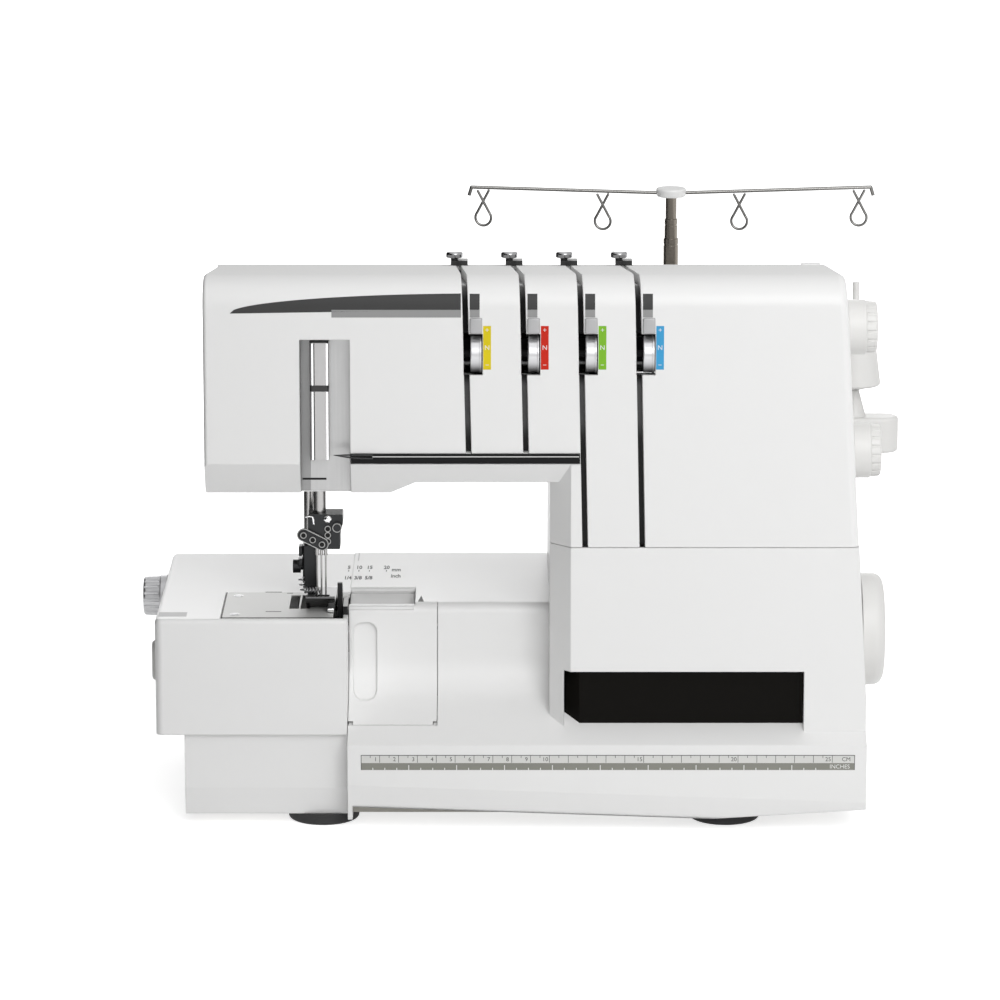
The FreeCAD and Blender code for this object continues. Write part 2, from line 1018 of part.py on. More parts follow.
def take_up_guard():
    """Satin guard bars in the take-up recess, with a dark thread band between them."""
    x = (guard_left, guard_left + guard_width)
    floor = front_y + recess_depth
    band_low, band_high = about(guard_band_z, guard_band_height / 2)
    cuts = (guard_low, band_low, band_high, guard_top)
    pieces = []
    for low, high in zip(cuts, cuts[1:]):
        pieces.append(prism_z(rounded_box(x, (floor - guard_depth, floor), guard_round), (low, high)))
    return Part.makeCompound(pieces)


def tension_dial(index):
    """Smooth dial with a thin flange at its right side, turning on its axle."""
    left = dial_left(index)
    right = left + dial_width
    bore = axle_radius + running_gap
    drum = dial_radius - dial_flange_step
    profile = [(left, bore), (left, drum, dial_face_round), (right - dial_flange, drum),
               (right - dial_flange, dial_radius), (right, dial_radius), (right, bore)]
    return turned_x(profile, dial_y(), dial_z)


def tension_bracket():
    """Steel strip behind the dials, with an axle between two ears for each."""
    y = dial_y()
    plate_y = y + dial_radius + 2 * free_gap
    height = about(dial_z, ear_half_height)
    first = ear_x(0)[0]
    last = ear_x(slot_count - 1)[1] + ear_thick
    pieces = [block((first, last), (plate_y, plate_y + ear_thick), height)]
    for index in range(slot_count):
        left, right = ear_x(index)
        for x in (left, right):
            pieces.append(block((x, x + ear_thick), (y - ear_lead, plate_y), height))
        pieces.append(rod_x((left, right + ear_thick), y, dial_z, axle_radius))
    return joined(pieces)


def pretension_guides():
    """Thread guides on the top, each a block with a domed cap on a post."""
    guides = []
    under = arm_body(0.0, seam_height)
    for index in range(slot_count):
        z = top_z(guide_y)
        x = slot_x(index, guide_y, z) - guide_shift
        block_top = z + guide_block_height
        base = block((x - guide_block_left, x + guide_block_right), about(guide_y, guide_block_half),
                     (z - guide_sink, block_top))
        low = block_top + cap_gap
        post = rod_z(x, guide_y, (z - guide_sink, low + cap_height / 2), guide_post_radius)
        cap = turned_z([(0, low), (cap_radius, low, cap_edge), (cap_radius, low + cap_height, cap_dome),
                        (0, low + cap_height)], x, guide_y)
        guides.append(joined([base.cut(under), post.cut(under), cap]))
    return Part.makeCompound(guides)


def plate_y():
    """Front and back edge of the needle plate."""
    front = front_y + plate_front_back
    return front, front + plate_length


def free_arm_shell():
    """Free arm with the bed, open below and behind its end wall, with a seat for the needle plate."""
    x = (0, free_arm_length - seam)
    plan = [(x[0], front_y, free_arm_corner), (x[1], front_y), (x[1], 0), (x[0], 0, free_arm_corner)]
    body = prism_z(plan, (free_arm_low, bed_height))

    def on_top(p):
        return p.z > bed_height - match and p.x < x[1] - match

    body = body.makeFillet(free_arm_round, edges_where(body, on_top))
    inside = block((wall, far), (front_y + wall, -wall), (free_arm_low + wall, bed_height - wall))
    below = block((arm_base_inset + wall, far), (front_y + arm_base_step + 2 * wall, -2 * wall),
                  (free_arm_low - wall, free_arm_low + 2 * wall))
    end_wall = block((x[1] - wall, far), (-far, bed_front_y - free_arm_end_lead), (-far, far))
    room = inside.fuse(below).cut(end_wall)
    y = plate_y()
    seat = block((plate_left - seam, far), grown(y, seam),
                 (bed_height - plate_thick + plate_proud, bed_height + wall))
    through = block((plate_left + wall, far), grown(y, -wall), (bed_height - 2 * wall, bed_height + wall))
    stem = cut_stem(running_gap)
    hole = button_prism((-far, 2 * wall), seam)
    return body.cut(room).cut(seat).cut(through).cut(stem).cut(hole)


def arm_base_cover():
    """Cover of the base under the free arm."""
    x = (arm_base_inset, free_arm_length - seam)
    front = front_y + arm_base_step
    tuck = crease_tuck * (arm_base_crease - foot_height)
    section = [(0, foot_height), (front + tuck, foot_height), (front, arm_base_crease),
               (front, free_arm_low - seam), (0, free_arm_low - seam)]
    inner = [(0, -far), (front + tuck, foot_height), (front, arm_base_crease), (front, far), (0, far)]
    shell = prism_x(section, x)
    return shell.cut(prism_x(inner, (x[0] + wall, far), wall))


def base_outer():
    """Outside of the base with the lower column, with the lower band tucked in and the hem raised."""
    body = base_prism((free_arm_length, base_right), 0.0, foot_height)
    body = body.fuse(column_prism(0.0, (base_face_top + column_root, seam_height), 0))
    body = body.common(side_lean_prism(0.0)).removeSplitter()
    reach = 2 * crease_left
    points = [Vector(free_arm_length, base_front_y, crease_left),
              Vector(free_arm_length, base_front_y, crease_left - reach),
              Vector(free_arm_length, base_front_y + crease_tuck * reach, crease_left - reach)]
    tuck = Part.Face(Part.makePolygon(points + points[:1]))
    body = body.cut(tuck.extrude(Vector(base_right - free_arm_length, 0, crease_right - crease_left)))
    hem = [(hem_start, foot_height), (base_right + wall, foot_height + hem_rise),
           (base_right + wall, foot_height - wall), (hem_start, foot_height - wall)]
    return body.cut(prism_y(hem, (-far, far)))


def plinth_back():
    """Back of the recess for the plinth panel."""
    return front_y + plinth_setback + plinth_chamfer + 2 * plinth_thick


def column_hollow():
    """Room inside the lower column, above and behind the plinth recess and in the right leg."""
    low = base_face_top - column_hollow_drop
    high = seam_height + wall
    above = column_prism(wall, (plinth_top + wall, high), -wall)
    room = column_prism(wall, (low, high), -wall)
    behind = room.common(block((-far, far), (plinth_back(), far), (-far, far)))
    leg = room.common(block((plinth_right + wall, far), (-far, far), (-far, far)))
    return above.fuse([behind, leg])


def plinth_cut():
    """Recess in the lower column above the ledge for the plinth panel."""
    room = block((plinth_left, plinth_right), (front_y - wall, plinth_back()), (base_face_top, plinth_top))
    return room.cut(base_prism((free_arm_length, base_right), 0.0, foot_height))


def door_room(gap):
    """Space of the looper door in the base, with a gap around it."""
    x = (free_arm_length - gap, looper_door_right - seam + gap)
    y = (door_pin_y - door_front_reach - gap, bed_front_y + bed_round - seam + gap)
    return block(x, y, (door_pin_z - door_under, far))


def chute_room():
    """Room of the waste chute in the bed, with a rounded edge behind it."""
    low = bed_height - chute_cut
    front = bed_front_y - wall
    corners = [(front, low), (chute_edge_y, low), (chute_edge_y, bed_height, chute_lip_round),
               (-wall, bed_height), (-wall, far), (front, far)]
    return prism_x(corners, (free_arm_length - overcut, chute_right))


def hinge_lug(left):
    """Lug of the base that carries an end of the looper door's pin."""
    x = (left, left + lug_width)
    boss = rod_x(x, door_pin_y, door_pin_z, lug_boss_radius)
    neck = block(x, about(door_pin_y, lug_boss_radius), (door_pin_z - lug_stem_low, door_pin_z))
    stem = block(x, (door_pin_y - lug_stem_front, door_pin_y + lug_boss_radius),
                 (door_pin_z - lug_stem_low, door_pin_z - lug_stem_top))
    return joined([boss, neck, stem])


def lug_places():
    """Left sides of the two lugs, at the ends of the door."""
    return free_arm_length + seam, looper_door_right - lug_width


def base_end_wall():
    """Room of the wall that closes the base's left end in front of the arm's base."""
    tuck = crease_tuck * (arm_base_crease - foot_height)
    back = front_y + arm_base_step + tuck + wall
    return block((-far, free_arm_length + wall), (-far, back), (-far, far))


def base_shell():
    """Hollow base with the lower column, open to the free arm, with the door opening and holes."""
    hollow = base_prism((free_arm_length - overcut, far), wall, -far).cut(base_end_wall())
    hollow = hollow.fuse(column_hollow())
    hollow = hollow.common(side_lean_prism(wall))
    shell = base_outer().cut(hollow).cut(plinth_cut())
    shell = shell.cut(door_room(seam)).cut(chute_room())
    knuckle_room = rod_x((free_arm_length - overcut, looper_door_right), door_pin_y, door_pin_z,
                         knuckle_room_radius)
    shell = shell.cut(knuckle_room)
    ledge = base_prism((free_arm_length, base_right), 0.0, foot_height)
    for left in lug_places():
        shell = shell.fuse(hinge_lug(left).common(ledge))
    pin = rod_x((free_arm_length - overcut, looper_door_right + wall), door_pin_y, door_pin_z,
                door_pin_radius)
    shaft_hole = rod_x((base_right - 3 * wall, far), main_shaft_y, main_shaft_z, main_shaft_radius + wall)
    inlet_hole = block((base_right - 2 * wall, far), inlet_y(), (inlet_low, inlet_top))
    return shell.cut(pin).cut(shaft_hole).cut(inlet_hole).removeSplitter()


def plinth_panel():
    """Black panel set back under the column, standing on the ledge."""
    front = front_y + plinth_setback
    left = plinth_left + seam
    right = plinth_right - seam
    lean = plinth_thick / math.sqrt(2)
    corners = [(left, front + plinth_chamfer), (left + plinth_chamfer, front), (right, front),
               (right, front + plinth_thick), (left + plinth_chamfer + lean, front + plinth_thick),
               (left + lean, front + plinth_chamfer + lean)]
    panel = prism_z(corners, (base_face_top, plinth_top - seam))
    ledge = base_prism((free_arm_length, base_right), 0.0, foot_height)
    return panel.cut(ledge)


def bottom_pan():
    """Shallow tray that closes the base from below."""
    x = (pan_inset, base_right - pan_inset)
    tuck = crease_tuck * (arm_base_crease - foot_height)
    y = (front_y + arm_base_step + tuck + wall + seam, -2 * wall)
    tray = block(x, y, (foot_height, foot_height + pan_height))
    room = block(grown(x, -pan_rim), grown(y, -pan_rim), (foot_height + wall, far))
    return tray.cut(room)


def foot_places():
    """Middles of the four feet."""
    return [(x, y) for x in foot_x for y in (front_y + foot_front, -foot_rear)]


def rubber_feet():
    """Four round feet under the pan."""
    profile = [(0, 0), (foot_radius, 0, foot_edge), (foot_radius, foot_height), (0, foot_height)]
    return Part.makeCompound([turned_z(profile, x, y) for x, y in foot_places()])


def ledge_door_skin(depth):
    """Skin of the base outside, down to a depth under it."""
    x = (free_arm_length, looper_door_right)
    return base_prism(x, 0.0, -far).cut(base_prism(x, depth, -far))


def chute_shelf():
    """Trough along the door's top, from its rim down and up again to the bed's edge."""
    rim = bed_height - chute_rim
    floor = bed_height - chute_depth
    front = bed_front_y + seam
    back = chute_edge_y - chute_gap
    back_top = bed_height - wall - free_gap
    upper = [(front, rim), (front + chute_front_run, floor, chute_round),
             (back - chute_back_run, floor, chute_round), (back, back_top)]
    lower = [(back, back_top - chute_thick), (back - chute_back_run, floor - chute_thick, chute_round),
             (front + chute_front_run, floor - chute_thick, chute_round), (front, rim - chute_thick)]
    return prism_x(upper + lower, (free_arm_length, chute_right - free_gap))


def looper_door():
    """Door over the loopers, with a finger grip, a chute along its top and its hinge knuckle."""
    x = (free_arm_length, looper_door_right - seam)
    grip_x = (free_arm_length + grip_inset, free_arm_length + grip_inset + grip_width)
    grip_z = (door_pin_z + grip_rise, bed_height - grip_drop)
    grip = prism_y(rounded_box(grip_x, grip_z, grip_round), (-far, far))
    backing_x = (grip_x[0] - grip_backing_left, grip_x[1] + wall)
    backing = prism_y(rounded_box(backing_x, (grip_z[0] - wall, grip_z[1]), grip_round), (-far, far))
    thick = ledge_door_skin(wall + grip_depth).common(backing)
    panel = ledge_door_skin(wall).fuse(thick).cut(ledge_door_skin(grip_depth).common(grip))
    panel = panel.common(door_room(0.0))
    open_top = block((x[0], chute_right), (bed_front_y - wall, far), (bed_height - chute_rim, far))
    lugs = lug_places()
    knuckle_x = (lugs[0] + lug_width + seam, lugs[1] - seam)
    knuckle = rod_x(knuckle_x, door_pin_y, door_pin_z, knuckle_radius)
    door = joined([panel.cut(open_top), chute_shelf(), knuckle])
    for end in ((x[0], knuckle_x[0]), (knuckle_x[1], x[1])):
        door = door.cut(block(end, (door_pin_y - end_room_front, door_pin_y + end_room_back),
                              (door_pin_z - end_room_below, door_pin_z + end_room_above)))
    return door.cut(rod_x(x, door_pin_y, door_pin_z, door_pin_radius + running_gap))


def needle_plate():
    """Steel plate in the bed, with the needle slot and the feed slots."""
    z = (bed_height - plate_thick + plate_proud, bed_height + plate_proud)
    plate = prism_z(rounded_box((plate_left, plate_right), plate_y(), plate_corner), z)
    slot = block((needle_x - plate_slot_left, needle_x + plate_slot_right),
                 about(needle_y, plate_slot_half), (0, far))
    plate = plate.cut(slot)
    half_length = feed_row_length / 2 + feed_travel + feed_row_gap
    for x in feed_rows():
        row = grown((x, x + feed_row_width), feed_row_gap)
        plate = plate.cut(block(row, about(needle_y, half_length), (0, far)))
    return plate


def feed_rows():
    """Left sides of the feed dog's rows of teeth."""
    return [feed_row_left + index * feed_pitch for index in range(feed_row_count)]


def feed_dog():
    """Carrier under the plate with its toothed rows."""
    top = bed_height + feed_proud
    carrier_top = bed_height - feed_carrier_drop
    rows = feed_rows()
    carrier = block((rows[0] - feed_carrier_left, rows[-1] + feed_row_width + feed_carrier_right),
                    (needle_y - feed_carrier_front, needle_y + feed_carrier_back),
                    (carrier_top - feed_carrier_thick, carrier_top))
    pieces = [carrier]
    count = int(feed_row_length / feed_tooth)
    start = needle_y - count * feed_tooth / 2
    corners = [(start, carrier_top)]
    for index in range(count):
        corners.append((start + index * feed_tooth, top - feed_tooth_height))
        corners.append((start + (index + feed_tooth_rise_share) * feed_tooth, top))
    corners.append((start + count * feed_tooth, top - feed_tooth_height))
    corners.append((start + count * feed_tooth, carrier_top))
    for x in rows:
        pieces.append(prism_x(corners, (x, x + feed_row_width)))
    return joined(pieces)


def needle_places():
    """Middles of the needles across the clamp."""
    middle = (needle_count - 1) / 2
    return [needle_x + needle_shift + (index - middle) * needle_pitch for index in range(needle_count)]


def needles():
    """Needles, each a shank and a thinner blade with a point."""
    pieces = []
    shank_low = clamp_low - needle_shank_below
    blade_low = needle_tip_z + needle_point
    for x in needle_places():
        shank = rod_z(x, needle_y, (shank_low, clamp_low + needle_shank_above), needle_shank_radius)
        blade = rod_z(x, needle_y, (blade_low, shank_low), needle_radius)
        tip = Part.makeCone(needle_point_radius, needle_radius, needle_point,
                            Vector(x, needle_y, needle_tip_z))
        pieces.append(joined([shank, blade, tip]))
    return Part.makeCompound(pieces)


def needle_bar():
    """Needle bar with the collar and stud that the connecting rod turns on."""
    bar = rod_z(needle_x, needle_y, (clamp_low + clamp_bore_rise, needle_bar_top), needle_bar_radius)
    z = collar_z()
    collar = rod_z(needle_x, needle_y, about(z, needle_collar_half), needle_bar_radius + needle_collar_thick)
    stud = rod_x((needle_x, rod_x_limits()[1]), needle_y, z, rod_stud_radius)
    return joined([bar, collar, stud])


def crank_pin_place():
    """Crank pin in y and z with the needle bar at rest."""
    z = upper_shaft_z - crank_drop
    y = needle_y - math.sqrt(crank_throw ** 2 - crank_drop ** 2)
    return y, z


def collar_z():
    """Height of the stud, one rod length under the crank pin."""
    y, z = crank_pin_place()
    return z - math.sqrt(rod_length ** 2 - (y - needle_y) ** 2)


def rod_x_limits():
    """Left and right side of the connecting rod."""
    right = crank_x - rod_gap
    return right - rod_thick, right


def connecting_rod():
    """Link from the needle bar's stud up to the crank pin."""
    x = rod_x_limits()
    through = grown(x, overcut)
    y, z = crank_pin_place()
    low = collar_z()
    eyes = [rod_x(x, needle_y, low, rod_low_eye), rod_x(x, y, z, rod_top_eye)]
    along = math.atan2(z - low, y - needle_y)
    side = Vector(0, -math.sin(along), math.cos(along)) * rod_half_width
    ends = [Vector(x[0], needle_y, low), Vector(x[0], y, z)]
    points = [ends[0] + side, ends[1] + side, ends[1] - side, ends[0] - side]
    face = Part.Face(Part.makePolygon(points + points[:1]))
    link = joined([face.extrude(Vector(rod_thick, 0, 0))] + eyes)
    return link.cut(rod_x(through, needle_y, low, rod_stud_radius)).cut(rod_x(through, y, z, rod_top_bore))


def needle_clamp():
    """Clamp on the needle bar: a block with a jaw, a slanted yoke and set screws on its front."""
    y = about(needle_y, clamp_half_depth)
    foot = clamp_low + clamp_foot
    shoulder = clamp_low + yoke_end[1]
    neck_z = clamp_low + thumb_screw_place[1] + clamp_foot
    body = prism_y([(needle_x - clamp_left, shoulder, clamp_round),
                    (needle_x - clamp_neck_left, clamp_low + 2 * clamp_foot, clamp_round),
                    (needle_x + clamp_jaw_left, foot, clamp_round),
                    (needle_x + clamp_jaw_right, foot, clamp_round),
                    (needle_x + clamp_jaw_right, clamp_low + yoke_start[1], clamp_round),
                    (needle_x + clamp_right, neck_z, clamp_round),
                    (needle_x + clamp_right, clamp_top, clamp_round),
                    (needle_x - clamp_left, clamp_top, clamp_round)], y)
    front = (y[0] - yoke_thick, y[0])
    start = Vector(needle_x + yoke_start[0], 0, clamp_low + yoke_start[1])
    end = Vector(needle_x + yoke_end[0], 0, clamp_low + yoke_end[1])
    pieces = [body, flat_link(start, end, yoke_radius, front)]
    for index in range(yoke_screw_count):
        place = start + (end - start) * (index / (yoke_screw_count - 1))
        pieces.append(rod_y(place.x, (front[0] - clamp_screw_stand, y[0]), place.z, clamp_screw_radius))
    for z in clamp_screw_z:
        pieces.append(rod_y(needle_x + clamp_screw_x, (y[0] - clamp_screw_stand, y[0]), clamp_low + z,
                            clamp_screw_radius))
    pieces.append(rod_y(needle_x + thumb_screw_place[0], (y[0] - thumb_screw_stand, y[0]),
                        clamp_low + thumb_screw_place[1], thumb_screw_radius))
    clamp = joined(pieces)
    clamp = clamp.cut(rod_z(needle_x, needle_y, (clamp_low + clamp_bore_rise, far), needle_bar_radius))
    return clamp.cut(needles())


def flat_link(start, end, radius, y):
    """Flat plate with round ends between two places in x and z."""
    along = (end - start).normalize()
    side = Vector(-along.z, 0, along.x) * radius
    lift = Vector(0, y[0], 0)
    points = [place + lift for place in (start + side, end + side, end - side, start - side)]
    bar = Part.Face(Part.makePolygon(points + points[:1])).extrude(Vector(0, y[1] - y[0], 0))
    return joined([bar, rod_y(start.x, y, start.z, radius), rod_y(end.x, y, end.z, radius)])


def presser_bar():
    """Presser bar with the collar that the lifter raises."""
    bar = rod_z(presser_x, presser_y, (holder_low + holder_bore_rise, presser_bar_top), presser_bar_radius)
    z = lifter_z + lifter_cam_radius + lifter_cam_throw + seam
    collar = rod_z(presser_x, presser_y, (z, z + presser_collar_height),
                   presser_bar_radius + presser_collar_thick)
    return joined([bar, collar])


def foot_holder():
    """Holder on the presser bar with its thumb screw."""
    x = (presser_x - holder_left, presser_x + holder_right)
    body = prism_z(rounded_box(x, about(presser_y, holder_half_depth), holder_round),
                   (holder_low, holder_top))
    z = holder_low + holder_screw_rise
    neck_left = x[0] - holder_neck_length
    screw = rod_x((neck_left - holder_screw_length, neck_left), presser_y, z, holder_screw_radius)
    neck = rod_x((neck_left, x[0]), presser_y, z, holder_neck_radius)
    bore = rod_z(presser_x, presser_y, (holder_low + holder_bore_rise, far), presser_bar_radius)
    return joined([body.cut(bore), screw, neck.cut(bore)])


def presser_foot():
    """Sole with a turned up toe, a needle opening and a lug under the holder."""
    low = bed_height + foot_gap
    high = low + foot_thick
    heel = presser_y + foot_heel
    toe = heel - foot_length
    x = (presser_x - foot_left, presser_x - foot_left + foot_width)
    section = [(toe, high + toe_rise - toe_tip, toe_tip_round), (toe, high + toe_rise, toe_tip_round),
               (toe + toe_length, high, toe_round), (heel, high), (heel, low),
               (toe + toe_length, low, toe_round)]
    sole = prism_x(section, x)
    opening = block((needle_x - foot_opening_left, needle_x + foot_opening_right),
                    about(needle_y, foot_opening_half), (0, far))
    lug = block((presser_x - foot_lug_left, presser_x + holder_right), about(presser_y, holder_half_depth),
                (high, holder_low))
    return joined([sole.cut(opening), lug])


def presser_lifter():
    """Lifter shaft with its cam inside and its lever behind the rear cover."""
    outside = (lifter_gap, lifter_gap + lifter_thick)
    cam_y = about(presser_y, lifter_cam_half)
    shaft = rod_y(lifter_x, (cam_y[0], outside[1]), lifter_z, lifter_radius)
    cam = rod_y(lifter_x, cam_y, lifter_z + lifter_cam_throw, lifter_cam_radius)
    start = Vector(lifter_x, 0, lifter_z)
    end = start + Vector(lifter_reach, 0, -lifter_drop)
    arm = flat_link(start, end, lifter_half_width, outside)
    hub = rod_y(start.x, outside, start.z, lifter_end_radius)
    grip = rod_y(end.x, outside, end.z, lifter_end_radius)
    return joined([shaft, cam, arm, hub, grip])


def upper_knife():
    """Moving knife: a blade right of the foot on an arm that swings about its pin."""
    x = (knife_x, knife_x + knife_thick)
    y = knife_pin_y
    z = knife_pin_z
    front = needle_y - knife_lead
    back = front + knife_blade_length
    low = bed_height - knife_blade_drop
    half_arm = knife_arm_width / 2
    corners = [(y - half_arm, z), (y - knife_arm_width, low), (front, low), (front, bed_height + knife_rise),
               (front + knife_thick, bed_height + knife_rise), (back, bed_height + knife_rise / 2),
               (back, bed_height - wall), (y, low + knife_thick), (y + half_arm, z)]
    hub = rod_x((x[0] - knife_hub_left, x[1] + knife_hub_right), y, z, knife_hub_radius)
    knife = joined([prism_x(corners, x), hub])
    return knife.cut(rod_x((x[0] - wall, x[1] + 2 * wall), y, z, knife_pin_radius + running_gap))


def lower_knife():
    """Fixed knife beside the needle plate, against its bracket."""
    x = (knife_x + knife_thick + seam, free_arm_length - free_gap)
    return block(x, (needle_y - lower_knife_lead, bracket_front()),
                 (bed_height - lower_knife_seat, bed_height - lower_knife_drop))


def bracket_front():
    """Front face of the chassis bracket that carries loopers and knives."""
    return needle_y + bracket_lead


def looper(pivot, hub_radius_here, y, corners):
    """Looper arm with its hub, turning on a pin along y, from corners about the pivot."""
    hub_y = (y[0], bracket_front() - free_gap)
    hub = rod_y(pivot[0], hub_y, pivot[1], hub_radius_here)
    places = [(pivot[0] + corner[0], pivot[1] + corner[1]) + tuple(corner[2:]) for corner in corners]
    bore = rod_y(pivot[0], grown(hub_y, looper_root), pivot[1], looper_pin_radius + running_gap)
    return joined([prism_y(places, y), hub]).cut(bore)


def lower_looper():
    """Looper that swings left towards the needles."""
    top = lower_looper_height
    bend = lower_looper_bend
    corners = [(-looper_root, 0), (looper_root, 0), (-bend, top - looper_arm_width, looper_round),
               (-bend - looper_root - looper_tip, top, looper_arm_width), (-lower_looper_reach, top),
               (-lower_looper_reach, top - looper_tip),
               (-bend - 2 * looper_arm_width, top - looper_arm_width, looper_round),
               (-bend - looper_arm_width, top - 2 * looper_arm_width, looper_round)]
    y = (needle_y + lower_looper_lead, needle_y + lower_looper_lead + lower_looper_thick)
    return looper((lower_looper_x, lower_looper_z), lower_looper_hub, y, corners)


def upper_looper():
    """Looper that swings up beside the fixed knife."""
    top = upper_looper_height
    bend = upper_looper_bend
    corners = [(-looper_arm_width, -looper_tip), (looper_arm_width, looper_tip),
               (-bend, top - looper_tip, looper_round), (-upper_looper_reach, top),
               (-upper_looper_reach, top - looper_tip),
               (-bend - looper_tip, top - looper_root - looper_tip, looper_round)]
    y = (needle_y + upper_looper_lead, needle_y + upper_looper_lead + upper_looper_thick)
    return looper((upper_looper_x, upper_looper_z), upper_looper_hub, y, corners)


def pivot_pins():
    """Pins of the looper door, the loopers and the moving knife."""
    door = rod_x((free_arm_length + seam, looper_door_right), door_pin_y, door_pin_z, door_pin_radius)
    back = bracket_front() + looper_pin_tail
    lower = rod_y(lower_looper_x, (needle_y + lower_looper_lead - looper_pin_lead, back), lower_looper_z,
                  looper_pin_radius)
    upper = rod_y(upper_looper_x, (needle_y + upper_looper_lead - looper_pin_lead, back), upper_looper_z,
                  looper_pin_radius)
    x = (knife_x - free_gap, knife_lug_x()[1] - seam)
    knife = rod_x(x, knife_pin_y, knife_pin_z, knife_pin_radius)
    return Part.makeCompound([door, lower, upper, knife])


def knife_lug_x():
    """Lug on the chassis bracket that holds the knife pin."""
    return lower_looper_x - bracket_reach, lower_looper_x


def needle_bush_radius():
    """Outer radius of the needle bar's bushes."""
    return needle_bar_radius + needle_bush_thick


def presser_bush_radius():
    """Outer radius of the presser bar's bushes."""
    return presser_bar_radius + presser_bush_thick


def head_guides():
    """Heights of the two bearing blocks in the head."""
    lower = arm_low - lower_bearing_drop
    upper = upper_shaft_z + upper_bearing_rise
    return (lower, lower + bearing_height), (upper, upper + bearing_height)


def bushes():
    """Bushes of the two shafts and of the needle and presser bars."""
    rings = []
    for web in shaft_webs():
        rings.append(ring_x(grown((web, web + web_thick), bush_stand), main_shaft_y, main_shaft_z,
                            main_shaft_radius))
    for web in (head_web_x, column_web_x):
        rings.append(ring_x(grown((web, web + web_thick), bush_stand), needle_y, upper_shaft_z,
                            upper_shaft_radius))
    for limits in head_guides():
        z = grown(limits, bar_bush_stand)
        outer = rod_z(needle_x, needle_y, z, needle_bush_radius())
        rings.append(outer.cut(rod_z(needle_x, needle_y, z, needle_bar_radius + running_gap)))
        outer = rod_z(presser_x, presser_y, z, presser_bush_radius())
        rings.append(outer.cut(rod_z(presser_x, presser_y, z, presser_bar_radius + running_gap)))
    return Part.makeCompound(rings)


def shaft_webs():
    """Left sides of the chassis webs that carry the main shaft."""
    return left_web_x, column_web_x, right_web_x


def ring_x(x, y, z, shaft_radius):
    """Bush around a shaft along x."""
    outer = rod_x(x, y, z, shaft_radius + bush_thick)
    return outer.cut(rod_x(x, y, z, shaft_radius + running_gap))


def chassis_webs():
    """Floor, upright webs and spine of the chassis, with the feet that it stands on."""
    back = -chassis_rear
    front = main_shaft_y - floor_lead
    web_front = needle_y - web_lead
    spine = (main_shaft_y + spine_lead, main_shaft_y + spine_lead + spine_thick)
    guides = head_guides()
    pieces = [block((chassis_left, right_web_x + web_thick), (front, back),
                    (chassis_floor, chassis_floor + floor_thick)),
              block((left_web_x, left_web_x + web_thick), (front, back),
                    (chassis_floor, bed_height - left_web_drop))]
    for x in (column_web_x, right_web_x):
        pieces.append(block((x, x + web_thick), (web_front, back),
                            (chassis_floor, upper_shaft_z + web_rise)))
    pieces.append(block((head_web_x, column_web_x + web_thick), spine,
                        (arm_low + spine_low, upper_shaft_z + spine_rise)))
    pieces.append(block((head_web_x, head_web_x + web_thick), (web_front, spine[1]),
                        (guides[0][0], guides[1][1])))
    for x in (chassis_left + boss_left_inset, right_web_x - boss_right_inset):
        for y in (main_shaft_y - boss_front_lead, back - boss_rear_inset):
            pieces.append(rod_z(x, y, (foot_height + wall, chassis_floor), boss_radius))
    return pieces


def chassis_brackets():
    """Bearing blocks of the head, looper bracket, feed shelf and motor mount of the chassis."""
    pieces = []
    left = presser_x - bearing_left
    arm_y = presser_y + bearing_arm_lead
    for z in head_guides():
        pieces.append(block((left, needle_x + bearing_right),
                            (needle_y - bearing_front, presser_y + bearing_back), z))
        pieces.append(block((left, head_web_x), (arm_y, arm_y + bearing_arm_thick), z))
    front = bracket_front()
    bracket_y = (front, front + bracket_thick)
    bracket_left = lower_looper_x - bracket_reach
    bracket_top = lower_looper_z + bracket_rise
    rest_top = bed_height - knife_rest_drop
    pieces.append(block((bracket_left, left_web_x + overcut), bracket_y,
                        (lower_looper_z - bracket_reach, bracket_top)))
    pieces.append(block((bracket_left, lower_looper_x + bracket_arm), bracket_y,
                        (bracket_top - overcut, rest_top)))
    pieces.append(block((knife_x + knife_thick + seam, lower_looper_x), bracket_y,
                        (bed_height - lower_knife_seat, rest_top)))
    pieces.append(block(knife_lug_x(), (bracket_y[1] - overcut, knife_pin_y + bracket_reach),
                        about(knife_pin_z, knife_lug_half)))
    shelf_y = needle_y + feed_shelf_lead
    shelf_top = bed_height - feed_carrier_drop - feed_carrier_thick - feed_shelf_gap
    pieces.append(block((feed_row_left - feed_shelf_left, left_web_x + overcut),
                        (shelf_y, shelf_y + feed_shelf_depth), (shelf_top - feed_shelf_thick, shelf_top)))
    pieces.append(block(motor_mount_x(), about(motor_y, motor_radius + mount_margin),
                        (chassis_floor, motor_z + motor_radius + mount_rise)))
    return pieces


def chassis():
    """Cast frame: floor, webs, spine, bearing blocks, looper bracket and motor mount, bored."""
    frame = joined(chassis_webs() + chassis_brackets())
    for web in shaft_webs():
        frame = frame.cut(rod_x(grown((web, web + web_thick), overcut), main_shaft_y, main_shaft_z,
                                main_shaft_radius + bush_thick))
    for web in (head_web_x, column_web_x):
        frame = frame.cut(rod_x(grown((web, web + web_thick), overcut), needle_y, upper_shaft_z,
                                upper_shaft_radius + bush_thick))
    for limits in head_guides():
        z = grown(limits, overcut)
        frame = frame.cut(rod_z(needle_x, needle_y, z, needle_bush_radius()))
        frame = frame.cut(rod_z(presser_x, presser_y, z, presser_bush_radius()))
    frame = frame.cut(rod_x(grown(motor_mount_x(), overcut), motor_y, motor_z,
                            motor_shaft_radius + motor_shaft_gap))
    return frame.cut(pivot_pins())


def motor_mount_x():
    """Plate of the chassis that the motor is screwed to."""
    right = drive_x - mount_gap
    return right - mount_thick, right


